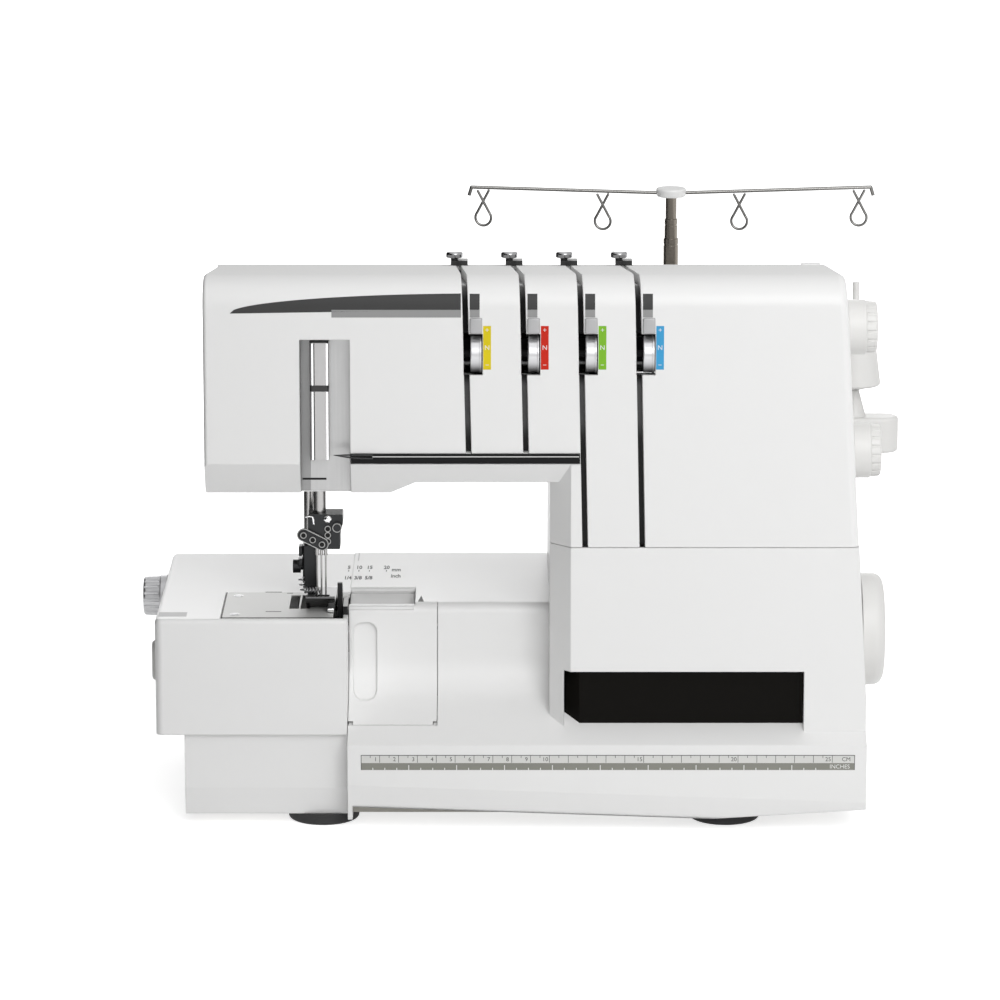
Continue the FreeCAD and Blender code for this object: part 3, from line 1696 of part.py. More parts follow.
def motor():
    """Motor body with its end bell, screwed to the mount."""
    right = motor_mount_x()[0]
    left = right - motor_length
    can = turned_x([(left, 0), (left, motor_radius, motor_edge), (right, motor_radius), (right, 0)],
                   motor_y, motor_z)
    bell = rod_x((left - motor_bell_length, left), motor_y, motor_z, motor_bell_radius)
    return joined([can, bell])


def motor_pulley():
    """Motor shaft with its pulley."""
    shaft = rod_x((motor_mount_x()[0] + seam, drive_x + pulley_width + motor_shaft_end), motor_y, motor_z,
                  motor_shaft_radius)
    wheel = rod_x((drive_x, drive_x + pulley_width), motor_y, motor_z, motor_pulley_radius)
    return joined([shaft, wheel])


def belt_loop(first, first_radius, second, second_radius, x):
    """Solid inside a belt that runs round two circles, given as (y, z) middles."""
    way = Vector(second[0] - first[0], second[1] - first[1], 0)
    along = math.atan2(way.y, way.x)
    spread = math.acos((first_radius - second_radius) / way.Length)
    points = []
    for middle, radius, angle in ((first, first_radius, along + spread),
                                  (second, second_radius, along + spread),
                                  (second, second_radius, along - spread),
                                  (first, first_radius, along - spread)):
        points.append(Vector(x[0], middle[0] + radius * math.cos(angle),
                             middle[1] + radius * math.sin(angle)))
    face = Part.Face(Part.makePolygon(points + points[:1]))
    straight = face.extrude(Vector(x[1] - x[0], 0, 0))
    rounds = [rod_x(x, first[0], first[1], first_radius), rod_x(x, second[0], second[1], second_radius)]
    return joined([straight] + rounds)


def belt(first, first_radius, second, second_radius, left):
    """Flat belt running on two pulleys with a small gap."""
    x = (left + belt_margin, left + pulley_width - belt_margin)
    inside = belt_loop(first, first_radius + belt_gap, second, second_radius + belt_gap, grown(x, overcut))
    outer = belt_gap + belt_thick
    return belt_loop(first, first_radius + outer, second, second_radius + outer, x).cut(inside)


def drive_belt():
    """Belt from the motor to the main shaft."""
    return belt((main_shaft_y, main_shaft_z), drive_radius, (motor_y, motor_z), motor_pulley_radius, drive_x)


def timing_belt():
    """Belt from the main shaft up to the upper shaft."""
    return belt((main_shaft_y, main_shaft_z), timing_radius, (needle_y, upper_shaft_z), timing_radius,
                timing_x)


def pulley(left, y, z, radius, bore):
    """Plain pulley on its shaft, with a lightening groove in each side."""
    wheel = rod_x((left, left + pulley_width), y, z, radius)
    for start in (left, left + pulley_width - pulley_groove):
        x = (start, start + pulley_groove)
        groove = rod_x(x, y, z, radius - pulley_rim).cut(rod_x(x, y, z, bore + pulley_rim))
        wheel = wheel.cut(groove)
    return wheel.cut(rod_x(grown((left, left + pulley_width), overcut), y, z, bore))


def shaft_pulleys():
    """Drive pulley and timing pulley on the main shaft."""
    drive = pulley(drive_x, main_shaft_y, main_shaft_z, drive_radius, main_shaft_radius)
    timing = pulley(timing_x, main_shaft_y, main_shaft_z, timing_radius, main_shaft_radius)
    return Part.makeCompound([drive, timing])


def upper_pulley():
    """Timing pulley on the upper shaft."""
    return pulley(timing_x, needle_y, upper_shaft_z, timing_radius, upper_shaft_radius)


def main_shaft():
    """Lower shaft from the looper drive to the handwheel."""
    return rod_x((main_shaft_left, wheel_right - wheel_bore_end), main_shaft_y, main_shaft_z,
                 main_shaft_radius)


def handwheel():
    """Dished handwheel with a blind bore on the main shaft."""
    left = base_right + wheel_gap
    right = wheel_right
    rim_left = left + wheel_rim_gap
    inner = wheel_radius - wheel_rim
    face = right - wheel_face_depth
    profile = [(left, main_shaft_radius), (left, wheel_hub_radius),
               (left + wheel_dish, wheel_hub_radius + wheel_rim_gap), (left + wheel_dish, inner),
               (rim_left, inner), (rim_left, wheel_radius),
               (right - wheel_boss_depth, wheel_radius, wheel_round),
               (right, inner - wheel_face_rim / 2), (right, inner - wheel_face_rim),
               (face, inner - 2 * wheel_face_rim), (face, wheel_boss_radius),
               (right - wheel_boss_depth, wheel_boss_radius), (right - wheel_boss_depth, 0),
               (right - wheel_bore_end, 0), (right - wheel_bore_end, main_shaft_radius)]
    return turned_x(profile, main_shaft_y, main_shaft_z)


def upper_shaft():
    """Shaft in the arm that turns the needle crank."""
    return rod_x((crank_x + crank_thick, timing_x + pulley_width + upper_shaft_end), needle_y, upper_shaft_z,
                 upper_shaft_radius)


def needle_crank():
    """Crank disc with its pin, which stops just short of the connecting rod."""
    disc = rod_x((crank_x, crank_x + crank_thick), needle_y, upper_shaft_z, crank_throw + crank_rim)
    y, z = crank_pin_place()
    pin = rod_x((rod_x_limits()[1] + seam, crank_x), y, z, crank_pin_radius)
    return joined([disc, pin])


def stitch_stem(gap):
    """Stem of the stitch length dial through the right wall."""
    x = (right_web_x + web_thick + seam, stitch_dial_right - dial_stem_cover)
    return rod_x(x, stitch_dial_y, stitch_dial_z, dial_stem_radius + gap)


def feed_stem(gap):
    """Stem of the differential feed dial through the right wall."""
    x = (right_web_x + web_thick + seam, feed_dial_right - dial_stem_cover)
    return rod_x(x, stitch_dial_y, feed_dial_z, dial_stem_radius + gap)


def cut_stem(gap):
    """Stem of the cutting width dial through the left wall."""
    x = (cut_dial_left + dial_stem_cover, 2 * wall)
    return rod_x(x, cut_dial_y, cut_dial_z, dial_stem_radius + gap)


def side_dial(near, tip, y, z, radius, skirt_share, stem):
    """Dial with a plain skirt by the wall and a notched grip at its outer end."""
    way = 1 if tip > near else -1
    middle = near + skirt_share * (tip - near)
    grip_radius = radius - dial_step
    skirt = turned_x([(near, 0), (near, radius, dial_skirt_edge), (middle, radius, dial_skirt_edge),
                      (middle, 0)], y, z)
    grip = turned_x([(middle, 0), (middle, grip_radius), (tip, grip_radius - dial_taper, dial_edge),
                     (tip, 0)], y, z)
    limits = sorted((middle + way * dial_skirt_edge, tip + way * overcut))
    cutters = []
    for notch in range(dial_notch_count):
        angle = 2 * math.pi * notch / dial_notch_count
        cutters.append(rod_x(limits, y + grip_radius * math.cos(angle), z + grip_radius * math.sin(angle),
                             dial_notch_radius))
    return joined([skirt, grip.cut(cutters), stem])


def stitch_dial():
    """Stitch length dial on the right."""
    near = right_wall_x(stitch_dial_z - stitch_dial_radius) + free_gap
    return side_dial(near, stitch_dial_right, stitch_dial_y, stitch_dial_z, stitch_dial_radius,
                     right_skirt_share, stitch_stem(0.0))


def feed_dial():
    """Differential feed dial on the right, lower down."""
    near = right_wall_x(feed_dial_z - feed_dial_radius) + free_gap
    return side_dial(near, feed_dial_right, stitch_dial_y, feed_dial_z, feed_dial_radius,
                     right_skirt_share, feed_stem(0.0))


def cut_dial():
    """Cutting width dial at the left end of the free arm."""
    return side_dial(-free_gap, cut_dial_left, cut_dial_y, cut_dial_z, cut_dial_radius, left_skirt_share,
                     cut_stem(0.0))


def button_prism(x, gap):
    """Oval of the release button along x, grown by a gap."""
    half_width = button_width / 2 + gap
    corners = rounded_box(about(button_y, half_width), about(button_z, button_height / 2 + gap),
                          half_width - match)
    return prism_x(corners, x)


def arm_button():
    """Push button in the left wall, with a flange behind it."""
    body = button_prism((-button_stand, wall + button_root), 0.0)

    def on_face(p):
        return p.x < -button_stand + match

    body = body.makeFillet(button_stand * button_round_share, edges_where(body, on_face))
    flange = button_prism((wall + seam, wall + seam + button_flange_thick), button_flange)
    return joined([body, flange])


def inlet_y():
    """Sides of the inlet block in y."""
    return -inlet_rear - inlet_width, -inlet_rear


def inlet_middle():
    """Middle of the inlet block in y."""
    return -inlet_rear - inlet_width / 2


def power_inlet():
    """Inlet block in the right wall, with a socket below and a window for the switch above."""
    y = inlet_y()
    z = (inlet_low, inlet_top)
    right = base_right + inlet_flange
    socket_left = right - socket_depth
    middle = inlet_middle()
    body = block((right - inlet_depth, base_right), grown(y, -inlet_gap), grown(z, -inlet_gap))
    flange = prism_x(rounded_box(grown(y, inlet_flange_rim), grown(z, inlet_flange_rim), inlet_flange_rim),
                     (base_right, right))
    low = inlet_low + socket_rise
    socket = prism_x(rounded_box(about(middle, socket_width / 2), (low, low + socket_height), socket_round),
                     (socket_left, far))
    window = block((socket_left, far), about(middle, rocker_width / 2 + rocker_side_gap),
                   about(rocker_z(), rocker_height / 2 + rocker_end_gap))
    inlet = joined([body, flange]).cut(socket).cut(window)
    pins = []
    for side in (-1, 1):
        pins.append(rod_x((socket_left, socket_left + socket_pin_length), middle + side * socket_pin_offset,
                          low + socket_height / 2, socket_pin_radius))
    axle = rod_y(rocker_x(), about(middle, rocker_width / 2 + overcut), rocker_z(), rocker_axle_radius)
    return joined([inlet, axle] + pins)


def rocker_z():
    """Height of the switch rocker's axle."""
    return inlet_top - rocker_top_inset - rocker_height / 2


def rocker_x():
    """Depth of the switch rocker's axle."""
    return base_right - rocker_axle_depth


def power_rocker():
    """Rocker of the power switch, a shallow V on its axle."""
    middle = inlet_middle()
    right = base_right + inlet_flange + rocker_stand
    left = right - rocker_thick
    z = rocker_z()
    half = rocker_height / 2
    corners = [(left, z - half, rocker_round), (right, z - half, free_gap), (right - rocker_dip, z),
               (right, z + half, free_gap), (left, z + half, rocker_round), (right - rocker_keel, z, wall)]
    rocker = prism_y(corners, about(middle, rocker_width / 2))
    return rocker.cut(rod_y(rocker_x(), (-far, far), z, rocker_axle_radius + running_gap))


def pin_places():
    """Spool pins along the beam."""
    inner, outer = pin_offsets
    return [pole_x - outer, pole_x - inner, pole_x + inner, pole_x + outer]


def spool_beam():
    """Beam behind the machine on two arms, with its spool pins and the pole's socket."""
    y = (beam_gap, beam_gap + beam_depth)
    z = (beam_low, beam_low + beam_height)
    body = prism_z(rounded_box(about(pole_x, beam_half_length), y, beam_depth / 2 - beam_end_inset), z)

    def on_rim(p):
        return p.z > z[1] - match or p.z < z[0] + match

    body = body.makeFillet(edge_round, edges_where(body, on_rim))
    pieces = [body]
    half = beam_arm_width / 2
    for side in (-1, 1):
        middle = pole_x + side * beam_arm_offset
        pieces.append(block(about(middle, half), (0, beam_gap + beam_arm_sink), grown(z, -beam_arm_inset)))
        pieces.append(block(about(middle, half + beam_pad), (0, beam_pad_thick), grown(z, beam_pad)))
    for x in pin_places():
        flare = Part.makeCone(pin_flare_radius, pin_radius + pin_flare_neck, pin_flare_height,
                              Vector(x, beam_y, z[1] - seam))
        pin = rod_z(x, beam_y, (z[1] - overcut, pin_top), pin_radius)
        rest = rod_z(x, beam_y, (pin_flange_z, pin_flange_z + pin_flange_thick), pin_radius + pin_flange_rim)
        pieces.extend([flare, pin, rest])
    beam = joined(pieces)
    return beam.cut(rod_z(pole_x, beam_y, (0, far), pole_outer_radius))


def spool_cones():
    """Cone adaptors on the spool pins, each a hollow cone with a hub."""
    cones = []
    low = pin_flange_z + pin_flange_thick
    bore = pin_radius + cone_bore_gap
    hub = bore + cone_wall
    for x in pin_places():
        outer = turned_z([(bore, low), (cone_radius - cone_lip, low), (cone_radius, low + cone_lip),
                          (cone_top_radius, cone_top, cone_lip), (bore, cone_top)], x, beam_y)
        room = turned_z([(hub, low - cone_lip), (cone_radius - 2 * cone_wall, low - cone_lip),
                         (cone_top_radius - cone_wall, cone_top - cone_roof), (hub, cone_top - cone_roof)],
                        x, beam_y)
        cones.append(outer.cut(room))
    return Part.makeCompound(cones)


def tube(radius, bore, z):
    """Tube of the pole, with a shallow ring near its top."""
    body = rod_z(pole_x, beam_y, z, radius)
    ring_low = z[1] - pole_ring_drop
    ring_z = (ring_low, ring_low + pole_ring_height)
    core = rod_z(pole_x, beam_y, ring_z, radius - pole_ring_depth)
    groove = rod_z(pole_x, beam_y, ring_z, radius).cut(core)
    return body.cut(groove).cut(rod_z(pole_x, beam_y, grown(z, overcut), bore))


def pole_outer():
    """Lowest and widest tube of the pole."""
    return tube(pole_outer_radius, pole_middle_radius + pole_slip, (pole_outer_low, pole_outer_top))


def pole_middle():
    """Middle tube of the pole."""
    return tube(pole_middle_radius, pole_inner_radius + pole_slip, (pole_middle_low, pole_middle_top))


def pole_inner():
    """Innermost rod of the pole, which carries the hub."""
    return rod_z(pole_x, beam_y, (pole_inner_low, pole_inner_top), pole_inner_radius)


def wire_z(offset):
    """Height of the guide wire at a distance from the pole."""
    return wire_height + wire_rise * abs(offset) / wire_half_length


def guide_wire():
    """Two wires out of the hub, rising to their ends, with a short hook at each."""
    wires = []
    for side in (-1, 1):
        start = Vector(pole_x + side * wire_start, beam_y, wire_z(wire_start))
        end = Vector(pole_x + side * wire_half_length, beam_y, wire_z(wire_half_length))
        hook = end + Vector(side * hook_lean, 0, -hook_drop)
        pieces = [rod_between(start, end, wire_radius), Part.makeSphere(wire_radius, end),
                  rod_between(end, hook, wire_radius)]
        wires.append(joined(pieces))
    return Part.makeCompound(wires)


def guide_hub():
    """Cap on the pole that the guide wires are held in."""
    profile = [(0, hub_low), (hub_radius - hub_taper, hub_low, hub_taper), (hub_radius, hub_top, hub_edge),
               (0, hub_top)]
    hub = turned_z(profile, pole_x, beam_y)
    bore = rod_z(pole_x, beam_y, (hub_low - overcut, pole_inner_top + seam), pole_inner_radius + running_gap)
    return hub.cut(bore).cut(guide_wire())


def eyelet_top(offset):
    """Height of an eyelet's upper bends, just under the guide wire."""
    return wire_z(offset) - wire_radius - eyelet_wire - eyelet_gap


def eyelet_middle(offset):
    """Height of the middle of an eyelet's loop."""
    return eyelet_top(offset) + wire_radius - eyelet_drop


def eyelet(offset):
    """Bent wire loop under the guide wire: a round loop with two crossing legs."""
    x = pole_x + offset
    top = eyelet_top(offset)
    tilt = eyelet_wire * eyelet_twist
    loop_points = []
    for degrees in (eyelet_open, -90, 180 - eyelet_open):
        angle = math.radians(degrees)
        side = math.cos(angle)
        loop_points.append(Vector(x + eyelet_radius * side, beam_y - tilt * side,
                                  eyelet_middle(offset) + eyelet_radius * math.sin(angle)))
    arc = Part.Arc(loop_points[0], loop_points[1], loop_points[2]).toShape()
    section = Part.Wire(Part.makeCircle(eyelet_wire, loop_points[0], arc.tangentAt(arc.FirstParameter)))
    loop = Part.Wire(arc).makePipeShell([section], True, False)
    pieces = [loop]
    for end, side in ((loop_points[0], -1), (loop_points[2], 1)):
        high = Vector(x + side * eyelet_spread, end.y, top)
        pieces.append(Part.makeSphere(eyelet_wire, end))
        pieces.append(rod_between(end, high, eyelet_wire))
        pieces.append(Part.makeSphere(eyelet_wire, high))
    return joined(pieces)


def eyelet_places():
    """Distances of the four eyelets from the pole."""
    inner, outer = eyelet_offsets
    return -outer, -inner, inner, outer


def thread_eyelets():
    """Four eyelets under the guide wire, one above each spool pin."""
    return Part.makeCompound([eyelet(offset) for offset in eyelet_places()])


PIECES = {
    "base_shell": base_shell, "bottom_pan": bottom_pan, "rubber_feet": rubber_feet,
    "arm_base_cover": arm_base_cover, "free_arm_shell": free_arm_shell, "needle_plate": needle_plate,
    "front_cover": front_cover, "rear_cover": rear_cover, "cover_screws": cover_screws,
    "plinth_panel": plinth_panel, "slot_liners": slot_liners,
    "thread_rail": thread_rail, "take_up_guard": take_up_guard, "tension_bracket": tension_bracket,
    "pretension_guides": pretension_guides, "chassis": chassis, "bushes": bushes,
    "pivot_pins": pivot_pins, "motor": motor, "drive_belt": drive_belt, "timing_belt": timing_belt,
    "lower_knife": lower_knife, "power_inlet": power_inlet, "spool_beam": spool_beam,
    "spool_cones": spool_cones, "pole_outer": pole_outer, "main_shaft": main_shaft,
    "shaft_pulleys": shaft_pulleys, "handwheel": handwheel, "upper_shaft": upper_shaft,
    "upper_pulley": upper_pulley, "needle_crank": needle_crank, "motor_pulley": motor_pulley,
    "needle_bar": needle_bar, "needle_clamp": needle_clamp, "needles": needles,
    "connecting_rod": connecting_rod, "presser_bar": presser_bar, "foot_holder": foot_holder,
    "presser_foot": presser_foot, "presser_lifter": presser_lifter, "feed_dog": feed_dog,
    "lower_looper": lower_looper, "upper_looper": upper_looper, "upper_knife": upper_knife,
    "looper_door": looper_door, "stitch_dial": stitch_dial, "feed_dial": feed_dial,
    "cut_dial": cut_dial, "arm_button": arm_button, "power_rocker": power_rocker,
    "pole_middle": pole_middle, "pole_inner": pole_inner, "guide_hub": guide_hub,
    "guide_wire": guide_wire, "thread_eyelets": thread_eyelets,
}


def origin_shift():
    """Move that puts the origin under the middle of the whole machine."""
    right = max(wheel_right, pole_x + beam_half_length)
    back = beam_y + max(cone_radius, beam_depth / 2)
    return Vector(-(cut_dial_left + right) / 2, -(base_front_y + back) / 2, 0)


def main():
    """Build every piece, move it to the shared origin and write it to its own file."""
    os.makedirs("parts", exist_ok=True)
    shift = origin_shift()
    shapes = {name: build() for name, build in PIECES.items()}
    for index in range(slot_count):
        shapes["tension_dial_%d" % (index + 1)] = tension_dial(index)
    for name, shape in shapes.items():
        moved = shape.copy()
        moved.translate(shift)
        solids = moved.Solids
        if not moved.isValid() or not solids:
            print("not a sound solid:", name)
        print(name, len(solids), round(moved.Volume))
        moved.exportStep("parts/%s.step" % name)


if __name__ == "__main__":
    main()
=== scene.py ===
"""Looks of a serger, an overlock sewing machine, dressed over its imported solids.

Sizes in the classes below are millimetres from the machine's own corner, unless a class says otherwise:
x runs right from the free arm's left wall, y runs back from the housing's rear face, so that the front
is negative, and z runs up from the table. Datum turns them into metres in the shared frame.
"""

import logging
import math
from dataclasses import dataclass
from enum import Enum
from typing import Callable, Iterable, Sequence

import bpy
import numpy as np
from bpy.types import ID, Material, Node, NodeSocket as Socket, NodeTree, Object
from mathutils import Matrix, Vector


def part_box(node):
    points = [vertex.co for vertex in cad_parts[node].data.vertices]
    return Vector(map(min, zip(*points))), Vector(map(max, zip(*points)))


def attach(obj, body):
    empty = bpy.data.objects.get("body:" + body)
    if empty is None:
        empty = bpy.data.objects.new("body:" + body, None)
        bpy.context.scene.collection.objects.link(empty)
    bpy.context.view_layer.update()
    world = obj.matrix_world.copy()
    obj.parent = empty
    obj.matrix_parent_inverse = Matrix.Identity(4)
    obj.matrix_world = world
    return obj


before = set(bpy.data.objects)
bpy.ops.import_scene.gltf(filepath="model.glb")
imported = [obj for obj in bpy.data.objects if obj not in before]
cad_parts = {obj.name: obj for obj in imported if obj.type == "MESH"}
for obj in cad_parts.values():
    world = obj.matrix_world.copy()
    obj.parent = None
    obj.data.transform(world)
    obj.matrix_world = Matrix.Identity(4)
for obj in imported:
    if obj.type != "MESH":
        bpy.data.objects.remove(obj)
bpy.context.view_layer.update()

log = logging.getLogger("serger")
Points = np.ndarray
Colour = tuple[float, float, float]
Place = tuple[float, float, float]
Span = tuple[float, float]

FLOAT = "NodeSocketFloat"
VECTOR = "NodeSocketVector"
COLOUR = "NodeSocketColor"
# Millimetres in a metre
MILLIMETRES = 1000.0
# Radius at which the closed end of a turned solid stops
PINCH = 0.01
# Steepest bend between two faces that is still shaded smooth
SMOOTH_DEGREES = 35


class Body(Enum):
    """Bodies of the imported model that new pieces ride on."""

    MACHINE = "machine"
    NEEDLES = "needle_unit"
    PRESSER = "presser_unit"
    ROCKER = "switch_rocker"


class Slot(Enum):
    """Material slots of the record that new pieces belong to."""

    WHITE = "white_plastic"
    BLACK = "black_plastic"
    SILVER = "silver_plastic"
    STEEL = "steel"
    DARK_STEEL = "dark_steel"
    CHROME = "chrome"


class Grain(Enum):
    """Kinds of fine relief, each as the stretch of its noise along x, y and z."""

    EVEN = (1.0, 1.0, 1.0)
    ALONG_X = (0.03, 1.0, 1.0)
    ALONG_Y = (1.0, 0.03, 1.0)
    ALONG_Z = (1.0, 1.0, 0.03)


@dataclass(frozen=True)
class Datum:
    """Corner of the machine in the shared frame, in metres.

    Attributes:
        left: x of the free arm's left wall.
        back: y of the housing's rear face.
    """

    left: float
    back: float

    @classmethod
    def read(cls) -> "Datum":
        """Read the corner from the boxes of the free arm and the rear cover."""
        return cls(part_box("free_arm_shell")[0].x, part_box("rear_cover")[1].y)

    @property
    def corner(self) -> Points:
        """Corner as a point on the table."""
        return np.array([self.left, self.back, 0.0])

    def place(self, points: Points) -> Points:
        """Move points, in millimetres from the corner, to metres in the shared frame."""
        return np.asarray(points, float) / MILLIMETRES + self.corner

    def box(self, node: str) -> tuple[Points, Points]:
        """Read a node's lowest and highest places, in millimetres from the corner."""
        low, high = ((np.array(place) - self.corner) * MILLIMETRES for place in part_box(node))
        return low, high


@dataclass
class Shell:
    """Surface of a piece: its corner points, and its faces as lists of point numbers."""

    points: Points
    faces: list[list[int]]


def joined(shells: Iterable[Shell]) -> Shell:
    """Put several shells into one, with the face numbers of each moved past those before it.

    Args:
        shells: Shells to put together.

    Returns:
        One shell with all points and faces.
    """
    points: list[Points] = []
    faces: list[list[int]] = []
    start = 0
    for shell in shells:
        points.append(shell.points)
        faces.extend([[number + start for number in face] for face in shell.faces])
        start += len(shell.points)
    return Shell(np.vstack(points), faces)


def rows_shell(rows: Points, looped: bool = False) -> Shell:
    """Skin over a stack of closed rings, each ring joined to the next by a band of quads.

    Args:
        rows: Grid of points, one ring in each row, of shape (rings, points in a ring, 3).
        looped: Whether the last ring joins the first; if not, both are closed with a flat face.

    Returns:
        The closed skin.
    """
    rings, around = rows.shape[:2]
    numbers = np.arange(rings * around).reshape(rings, around)
    ahead = np.roll(numbers, -1, axis=1)
    quads = np.stack([numbers, ahead, np.roll(ahead, -1, axis=0), np.roll(numbers, -1, axis=0)], axis=-1)
    if looped:
        return Shell(rows.reshape(-1, 3), quads.reshape(-1, 4).tolist())
    faces = quads[:-1].reshape(-1, 4).tolist()
    faces.append(numbers[0, ::-1].tolist())
    faces.append(numbers[-1].tolist())
    return Shell(rows.reshape(-1, 3), faces)


def boxes(low: Points, high: Points) -> Shell:
    """Axis-aligned boxes, worked out together from their lowest and highest corners.

    Each corner takes its coordinate from the low or the high corner, as the bits of its number say.

    Args:
        low: Lowest corners, one row for each box.
        high: Highest corners, one row for each box.

    Returns:
        All boxes in one shell.
    """
    low = np.atleast_2d(np.asarray(low, float))
    high = np.atleast_2d(np.asarray(high, float))
    bits = np.array([[number >> axis & 1 for axis in range(3)] for number in range(8)])
    points = low[:, None, :] + bits[None] * (high - low)[:, None, :]
    sides = np.array([[0, 2, 3, 1], [4, 5, 7, 6], [0, 1, 5, 4], [2, 6, 7, 3], [0, 4, 6, 2], [1, 3, 7, 5]])
    faces = sides[None] + 8 * np.arange(len(low))[:, None, None]
    return Shell(points.reshape(-1, 3), faces.reshape(-1, 4).tolist())


def slab(x: Span, y: Span, z: Span) -> Shell:
    """One box between its limits along each axis."""
    return boxes([x[0], y[0], z[0]], [x[1], y[1], z[1]])


def rounded_block(low: Sequence[float], high: Sequence[float], radius: float, steps: int = 5) -> Shell:
    """Box with rounded edges: a ball's surface, split at its eight corners and pushed out to the box.

    A point of the ball with direction n goes to the nearest inner corner of the box plus radius times
    n. Angles are taken a little off the axes, so that each wall is one flat band between rounds.

    Args:
        low: Lowest corner.
        high: Highest corner.
        radius: Radius of the edges.
        steps: Rows of points in each quarter round.

    Returns:
        The closed block.
    """
    off_axis = 0.02
    middle = (np.array(low) + np.array(high)) / 2
    half = (np.array(high) - np.array(low)) / 2 - radius
    quarter = np.linspace(off_axis, 1 - off_axis, steps) * math.pi / 2
    around = np.concatenate([quarter + turn * math.pi / 2 for turn in range(4)])
    rise = np.concatenate([quarter - math.pi / 2, quarter])
    angle, height = np.meshgrid(around, rise)
    way = np.stack([np.cos(height) * np.cos(angle), np.cos(height) * np.sin(angle), np.sin(height)], axis=-1)
    return rows_shell(middle + np.sign(way) * half + radius * way)


def tube(path: Points, radius: Points | float, side: Sequence[float], around: int = 10,
         looped: bool = False) -> Shell:
    """Round wire along a path: a circle in the plane across the path at each of its points.

    The circle's first axis is the path's direction crossed with a fixed side direction, and its second
    is the direction crossed with the first.

    Args:
        path: Points along the middle of the wire.
        radius: Radius of the wire, or one radius for each point.
        side: Direction that the path never runs along.
        around: Points on the circle.
        looped: Whether the path closes on itself.

    Returns:
        The closed wire.
    """
    along = np.roll(path, -1, axis=0) - np.roll(path, 1, axis=0) if looped else np.gradient(path, axis=0)
    along /= np.linalg.norm(along, axis=1, keepdims=True)
    first = np.cross(along, np.array(side, float))
    first /= np.linalg.norm(first, axis=1, keepdims=True)
    second = np.cross(along, first)
    angle = np.linspace(0, 2 * math.pi, around, endpoint=False)
    radii = np.broadcast_to(np.asarray(radius, float), (len(path),))[:, None, None]
    circle = np.cos(angle)[None, :, None] * first[:, None] + np.sin(angle)[None, :, None] * second[:, None]
    return rows_shell(path[:, None] + radii * circle, looped)


def lathe(profile: Sequence[Span], middle: Place, axis: int, around: int = 24) -> Shell:
    """Turn a profile about a line along one axis: each profile point becomes a circle.

    Args:
        profile: Rows of (distance along the axis, radius), in order along the axis.
        middle: Point that distances are taken from.
        axis: 0, 1 or 2 for a line along x, y or z.
        around: Points on each circle.

    Returns:
        The closed solid.
    """
    table = np.asarray(profile, float)
    angle = np.linspace(0, 2 * math.pi, around, endpoint=False)
    rows = np.zeros((len(table), around, 3))
    rows[..., axis] = table[:, :1]
    rows[..., (axis + 1) % 3] = table[:, 1:] * np.cos(angle)
    rows[..., (axis + 2) % 3] = table[:, 1:] * np.sin(angle)
    return rows_shell(rows + np.array(middle))


def helix(start: Place, end: Place, radius: float, turns: float, wire: float, side: Place) -> Shell:
    """Coil spring: a wire whose middle circles a straight line as it runs along it.

    Args:
        start: First end of the line.
        end: Other end of the line.
        radius: Radius of the coil.
        turns: Number of turns.
        wire: Radius of the wire.
        side: Direction across the line, of length 1.

    Returns:
        The closed wire.
    """
    steps_a_turn = 14
    share = np.linspace(0, 1, int(turns * steps_a_turn))
    line = np.array(end) - np.array(start)
    other = np.cross(line / np.linalg.norm(line), np.array(side))
    angle = 2 * math.pi * turns * share
    ring = np.cos(angle)[:, None] * np.array(side) + np.sin(angle)[:, None] * other
    return tube(np.array(start) + share[:, None] * line + radius * ring, wire, line, around=6)


def lettering(text: str, height: float, thick: float, spread: Callable[[Points], Points],
              bold: float = 0.0) -> Shell:
    """Flat letters or numbers, set centred about their own middle.

    Args:
        text: Characters to set.
        height: Height of a capital letter.
        thick: How far the letters stand out.
        spread: Turns local points (right, up, out) into points in space.
        bold: How far the outlines are pushed out.

    Returns:
        The letters as one shell.
    """
    capital_share = 0.73
    curve_steps = 4
    curve = bpy.data.curves.new("lettering", "FONT")
    curve.body = text
    curve.align_x = "CENTER"
    curve.align_y = "CENTER"
    curve.size = height / capital_share
    curve.extrude = thick / 2
    curve.offset = bold
    curve.resolution_u = curve_steps
    holder = bpy.data.objects.new("lettering", curve)
    mesh = bpy.data.meshes.new_from_object(holder)
    flat = np.zeros(len(mesh.vertices) * 3)
    mesh.vertices.foreach_get("co", flat)
    faces = [list(polygon.vertices) for polygon in mesh.polygons]
    bpy.data.meshes.remove(mesh)
    bpy.data.objects.remove(holder)
    bpy.data.curves.remove(curve)
    return Shell(spread(flat.reshape(-1, 3)), faces)


def upright(across: float, depth: float, height: float) -> Callable[[Points], Points]:
    """Way to stand letter points (right, up, out) up on a front face, about a place on it."""
    return lambda flat: np.stack([across + flat[:, 0], depth - flat[:, 2], height + flat[:, 1]], axis=1)


